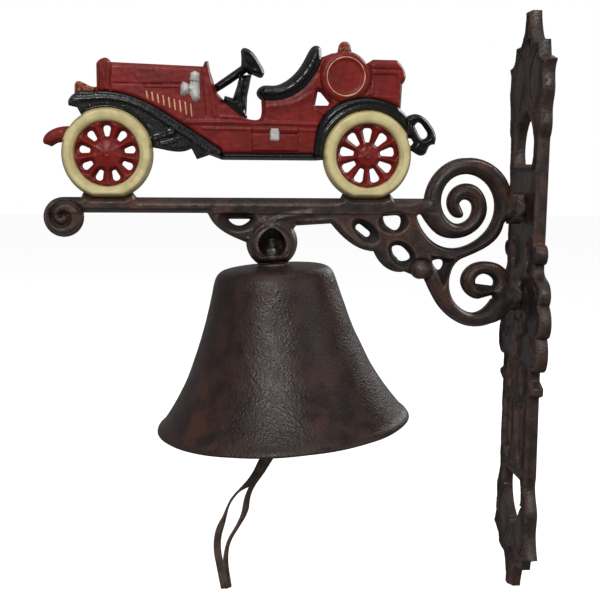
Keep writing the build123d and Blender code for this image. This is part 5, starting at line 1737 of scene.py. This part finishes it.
# ---------------------------------------------------------------- clapper and lace
@dataclass
class Clapper:
    """Link, rod and ball below the bolt's eye. Heights are millimetres below the pivot."""

    pivot: Vector
    ring: float = 4.0
    wire: float = 1.2
    rod: float = 1.7
    upper_ring: float = -4.0
    lower_ring: float = -11.0
    rod_ring: float = -16.5
    rod_top: float = -19.9
    rod_foot: float = -66.7
    ball: float = -52.5
    ball_radius: float = 10.0
    tail_ring: float = -70.1
    tail_radius: float = 3.4

    def build(self) -> None:
        """Makes and dresses the link, the rod and the ball."""
        zinc = ZINC.material()
        across, along, up = Vector((1, 0, 0)), Vector((0, 1, 0)), Vector((0, 0, 1))
        upper = wire_ring("link_upper", self.at(self.upper_ring), across, self.ring * MM, self.wire * MM)
        lower = wire_ring("link_lower", self.at(self.lower_ring), along, self.ring * MM, self.wire * MM)
        middle = (self.upper_ring + self.lower_ring) / 2
        bead = np.array(
            [(2.0 * math.sin(turn), middle - 0.5 - 2.0 * math.cos(turn)) for turn in np.linspace(0, math.pi, 13)]
        )
        weld_bead = lathe("link_weld", bead * MM, self.pivot, up, 24)
        dress(
            join("clapper_link_rings", [upper, lower, weld_bead]), zinc, "clapper_link", "steel",
            "clapper_link"
        )
        top = wire_ring("rod_eye", self.at(self.rod_ring), across, self.ring * MM, self.wire * MM)
        tail = wire_ring("rod_tail", self.at(self.tail_ring), along, self.tail_radius * MM, self.wire * MM)
        profile = rounded_profile(
            ((0.0, self.rod_foot - 0.8), (self.rod, self.rod_foot), (self.rod, self.rod_top),
             (0.0, self.rod_top + 1.2)),
            (0.0, 0.6, 0.6, 0.0),
        )
        shaft = lathe("rod_shaft", profile * MM, self.pivot, up, 24, skin=((0.05 * MM, 3 * MM, 8),))
        dress(join("clapper_rod_bar", [top, tail, shaft]), zinc, "clapper", "steel", "clapper_rod")
        dress(self.cast_ball(up), CLAPPER_IRON.material(), "clapper", "clapper_iron", "clapper_ball")

    def at(self, height: float) -> Vector:
        """The point a height above the pivot, in millimetres."""
        return self.pivot + Vector((0, 0, height * MM))

    def cast_ball(self, up: Vector) -> Any:
        """A cast ball with a flash line round its middle: a circle whose radius swells at the seam."""
        turn = np.linspace(0.12, math.pi - 0.12, 49)
        seam = 0.22 * bell_curve(turn - math.pi / 2, 0.05)
        radius = (self.ball_radius - 0.2 + seam) * np.sin(turn)
        height = self.ball - (self.ball_radius - 0.2) * np.cos(turn)
        neck = np.array(((self.rod, self.ball - self.ball_radius + 0.2), ))
        crown = np.array(((self.rod, self.ball + self.ball_radius - 0.2), ))
        profile = np.vstack((neck, np.column_stack((radius, height)), crown))
        return lathe("clapper_ball_casting", profile * MM, self.pivot, up, 96, skin=((0.09 * MM, 6 * MM, 7),))


@dataclass(frozen=True)
class LaceLeg:
    """One flat leg of the lace: its route below the knot, and how it turns edge-on along the way.

    Attributes:
        node: Frame node that it stands for.
        side: How far it lies off the middle plane, in millimetres, negative to the front.
        route: Points from the knot down, in millimetres from the pivot and the knot's foot.
        turns: Pairs of share of the length and degrees turned edge-on.
    """

    node: str
    side: float
    route: tuple[Point2, ...]
    turns: tuple[Point2, ...]


@dataclass
class Lace:
    """The leather pull: a knot through the clapper's tail ring, and two flat legs that hang from it."""

    pivot: Vector
    width: float = 4.4
    thickness: float = 1.5
    knot_foot: float = -84.5
    knot_top: float = -78.5
    knot_ring: float = -74.9
    knot_ring_radius: float = 3.6
    legs: tuple[LaceLeg, ...] = (
        LaceLeg(
            "thong_long_leg", -0.8,
            ((0.4, 1.2), (-3.8, -4.0), (-7.6, -10.2), (-10.6, -17.0), (-14.8, -23.2), (-21.6, -27.8),
             (-26.6, -34.6),
             (-29.0, -43.0), (-32.6, -51.6), (-33.6, -61.4), (-31.6, -72.8), (-29.2, -85.8)),
            ((0.0, 0.0), (0.3, 6.0), (0.38, 40.0), (0.44, 76.0), (0.57, 82.0), (0.64, 62.0),
             (0.72, 18.0), (0.85, 5.0), (1.0, 0.0)),
        ),
        LaceLeg(
            "thong_short_leg", 0.8,
            ((2.0, 1.6), (-0.4, -4.4), (-4.2, -10.4), (-8.0, -17.0), (-12.6, -23.8), (-16.0, -32.0),
             (-17.0, -41.0),
             (-21.6, -49.6), (-26.6, -57.6), (-28.5, -67.0), (-28.2, -77.0), (-26.8, -86.3)),
            ((0.0, 0.0), (0.25, 20.0), (0.4, 48.0), (0.52, 30.0), (0.64, 58.0), (0.8, 62.0),
             (0.92, 45.0), (1.0, 28.0)),
        ),
    )

    def build(self) -> None:
        leather = LACE_LEATHER.material()
        knot = dress(self.knot(), leather, "clapper", "leather", "thong_knot")
        for leg in self.legs:
            path = self.smooth_route(leg)
            piece = dress(self.ribbon(leg, path), leather, "clapper", "leather", leg.node)

    def smooth_route(self, leg: LaceLeg) -> Array:
        """Points read from a smooth NURBS line with the route's points as its control points."""
        curve = bpy.data.curves.new(f"{leg.node}_route", "CURVE")
        curve.dimensions = "3D"
        curve.resolution_u = 14
        spline = curve.splines.new("NURBS")
        spline.points.add(len(leg.route) - 1)
        for point, (across, height) in zip(spline.points, leg.route):
            place = self.pivot + Vector((across, leg.side, self.knot_foot + height)) * MM
            point.co = (*place, 1.0)
        spline.order_u = 3
        spline.use_endpoint_u = True
        holder = bpy.data.objects.new(f"{leg.node}_route", curve)
        mesh = bpy.data.meshes.new_from_object(holder)
        points = np.empty(3 * len(mesh.vertices))
        mesh.vertices.foreach_get("co", points)
        bpy.data.objects.remove(holder)
        bpy.data.meshes.remove(mesh)
        bpy.data.curves.remove(curve)
        return points.reshape(-1, 3)

    def ribbon(self, leg: LaceLeg, path: Array) -> Any:
        """A flat leg with rounded edges and a slight cup, turned along its length.

        The section is a squashed ring: width * cos, thickness * sin to the power 0.6, cupped by
        the square of the width.
        """
        turn = np.arange(20) * TURN / 20
        wide = np.sign(np.cos(turn)) * np.abs(np.cos(turn)) ** 0.75 * self.width / 2
        thick = np.sign(np.sin(turn)) * np.abs(np.sin(turn)) ** 0.6 * self.thickness / 2
        cup = 0.22 * (wide / (self.width / 2)) ** 2
        section = np.column_stack((wide, thick - cup)) * MM
        share = np.linspace(0.0, 1.0, len(path))
        stops = np.asarray(leg.turns)
        angle = np.radians(np.interp(share, stops[:, 0], stops[:, 1]))[:, None]
        tangent = np.gradient(path, axis=0)
        tangent /= np.linalg.norm(tangent, axis=1, keepdims=True)
        sideways = np.cross(tangent, np.array((0.0, 1.0, 0.0)))
        across = np.cos(angle) * sideways + np.sin(angle) * np.array((0.0, 1.0, 0.0))
        wear_and_painted_light = step_up(np.abs(wide), 0.36 * self.width, 0.48 * self.width)
        return tube(f"{leg.node}_strip", path, across, False, section, {"wear_and_painted_light": wear_and_painted_light})

    def knot(self) -> Any:
        """The lace's loop through the ring, and an overhand knot under it.

        The knot is a trefoil: (1.75 + 0.95 cos 3t)(cos 2t, sin 2t), with height 1.55 sin 3t.
        """
        turn = np.linspace(0, TURN, 120, endpoint=False)
        reach = 1.75 + 0.95 * np.cos(3 * turn)
        middle = (self.knot_foot + self.knot_top) / 2
        place = np.column_stack((
            reach * np.cos(2 * turn), reach * np.sin(2 * turn), middle + 1.55 * np.sin(3 * turn)
        ))
        path = np.array(self.pivot) + place * MM
        section = round_section(1.0, 14) * np.array((1.25, 0.9)) * MM
        outward = np.column_stack((np.cos(2 * turn), np.sin(2 * turn), 0.3 * np.cos(3 * turn)))
        tied = tube("knot_tied", path, outward, True, section)
        centre = self.pivot + Vector((0, 0, self.knot_ring * MM))
        loop = wire_ring("knot_loop", centre, Vector((1, 0, 0)), self.knot_ring_radius * MM, 0.9 * MM)
        core = rounded_profile(
            ((0.0, self.knot_foot), (2.3, self.knot_foot), (2.6, middle), (1.6, self.knot_top + 0.4),
             (0.0, self.knot_top + 0.4)),
            (0.0, 0.5, 1.5, 0.5, 0.0),
        )
        heart = lathe("knot_heart", core * MM, self.pivot, Vector((0, 0, 1)), 24)
        return join("thong_knot_tied", [tied, loop, heart])


# ---------------------------------------------------------------- studio
@dataclass
class Studio:
    """Camera, plain pale floor, white surroundings and soft lamps."""

    eye: Vector = Vector((-0.1774, -0.5444, 0.0787))
    yaw: float = 4.77
    pitch: float = 7.65
    roll: float = 0.42
    lens: float = 58.7
    floor_height: float = -0.23

    def build(self) -> None:
        """Makes the camera, the floor, the world and the lamps."""
        self.camera()
        self.floor()
        self.world()
        self.lamp("key", (-0.46, -1.15, 0.76), (-0.14, 0.0, 0.0), 0.36, 8.5)
        self.lamp("side", (0.95, -0.75, 0.35), (-0.05, 0.0, 0.0), 0.7, 2.5)
        self.lamp("top", (-0.2, -0.1, 1.2), (-0.12, 0.0, 0.0), 0.9, 3.0)
        self.lamp("back", (0.75, 1.0, 0.6), (-0.12, 0.0, 0.0), 0.8, 5.0)

    def camera(self) -> None:
        """A camera that looks along +Y, turned by its yaw, tipped down by its pitch, and rolled."""
        yaw, pitch, roll = (math.radians(value) for value in (self.yaw, self.pitch, self.roll))
        ahead = Vector((math.sin(yaw) * math.cos(pitch), math.cos(yaw) * math.cos(pitch), -math.sin(pitch)))
        right = Vector((math.cos(yaw), -math.sin(yaw), 0.0))
        up = right.cross(ahead)
        right, up = (
            right * math.cos(roll) + up * math.sin(roll), up * math.cos(roll) - right * math.sin(roll)
        )
        data = bpy.data.cameras.new("camera")
        data.sensor_width, data.lens = 36.0, self.lens
        data.clip_start, data.clip_end = 0.01, 20.0
        camera = bpy.data.objects.new("camera", data)
        camera.matrix_world = Matrix.Translation(self.eye) @ Matrix((right, up, -ahead)).transposed().to_4x4()
        bpy.context.scene.collection.objects.link(camera)
        bpy.context.scene.camera = camera

    def floor(self) -> None:
        """A wide pale floor below the bell."""
        half = 6.0
        corners = np.array(((-half, -half), (half, -half), (half, half), (-half, half)))
        points = np.column_stack((corners, np.full(4, self.floor_height)))
        floor = make_object("studio_floor", points, [np.arange(4)[None]], {})
        sheet = NodeSheet("pale_floor")
        floor.data.materials.append(sheet.finish(
            Base_Color=(0.8, 0.8, 0.8), Roughness=0.9, Specular_IOR_Level=0.1,
            Emission_Color=(1.0, 1.0, 1.0), Emission_Strength=0.8,
        ))
        floor.visible_diffuse = floor.visible_glossy = False

    def world(self) -> None:
        """White to the eye, and a dimmer even light on the object."""
        world = bpy.data.worlds.new("white_studio")
        world.use_nodes = True
        tree = world.node_tree
        tree.nodes.clear()
        seen, cast = tree.nodes.new("ShaderNodeBackground"), tree.nodes.new("ShaderNodeBackground")
        seen.inputs["Color"].default_value, seen.inputs["Strength"].default_value = (1, 1, 1, 1), 1.0
        cast.inputs["Color"].default_value, cast.inputs["Strength"].default_value = (1, 1, 1, 1), 0.2
        path, mix = tree.nodes.new("ShaderNodeLightPath"), tree.nodes.new("ShaderNodeMixShader")
        output = tree.nodes.new("ShaderNodeOutputWorld")
        tree.links.new(path.outputs["Is Camera Ray"], mix.inputs[0])
        tree.links.new(cast.outputs[0], mix.inputs[1])
        tree.links.new(seen.outputs[0], mix.inputs[2])
        tree.links.new(mix.outputs[0], output.inputs["Surface"])
        bpy.context.scene.world = world
        bpy.context.scene.view_settings.view_transform = "Standard"

    def lamp(self, name: str, place: Point3, target: Point3, size: float, power: float) -> None:
        """A soft square lamp that points at a place."""
        data = bpy.data.lights.new(name, "AREA")
        data.shape, data.size, data.energy = "SQUARE", size, power
        lamp = bpy.data.objects.new(name, data)
        lamp.location = place
        lamp.rotation_euler = (Vector(target) - Vector(place)).to_track_quat("-Z", "Y").to_euler()
        bpy.context.scene.collection.objects.link(lamp)


# ---------------------------------------------------------------- the whole object
def joint_place(frame: dict[str, Any], name: str) -> tuple[Vector, Vector]:
    """The point and the axis of a joint, in the frame."""
    joint = next(joint for joint in frame["joints"] if joint["name"] == name)
    return Vector(joint["pos_m"]), Vector(joint["axis"]).normalized()


def dress_bolts(frame: dict[str, Any]) -> None:
    """Gives the frame's own bracket bolts, whose shape is right, a steel finish."""
    mesh = frame["nodes"]["bracket_bolts"].data
    mesh.materials.clear()
    mesh.materials.append(ZINC.material())


def main() -> None:
    """Builds the whole object in order."""
    logging.basicConfig(level=logging.INFO, format="%(message)s")
    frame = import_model()
    Studio().build()
    seat, up = joint_place(frame, "bell_turn")
    pivot, _ = joint_place(frame, "clapper_swing")
    LOG.info("lace")
    Lace(pivot).build()
    LOG.info("bell and hanger")
    BellAndHanger(seat, up).build()
    LOG.info("clapper")
    Clapper(pivot).build()
    LOG.info("bracket arm")
    BracketArm().build(frame)
    LOG.info("wall plate")
    WallPlate().build(frame)
    LOG.info("car")
    Car().build(frame)
    dress_bolts(frame)


if __name__ == "__main__":
    main()
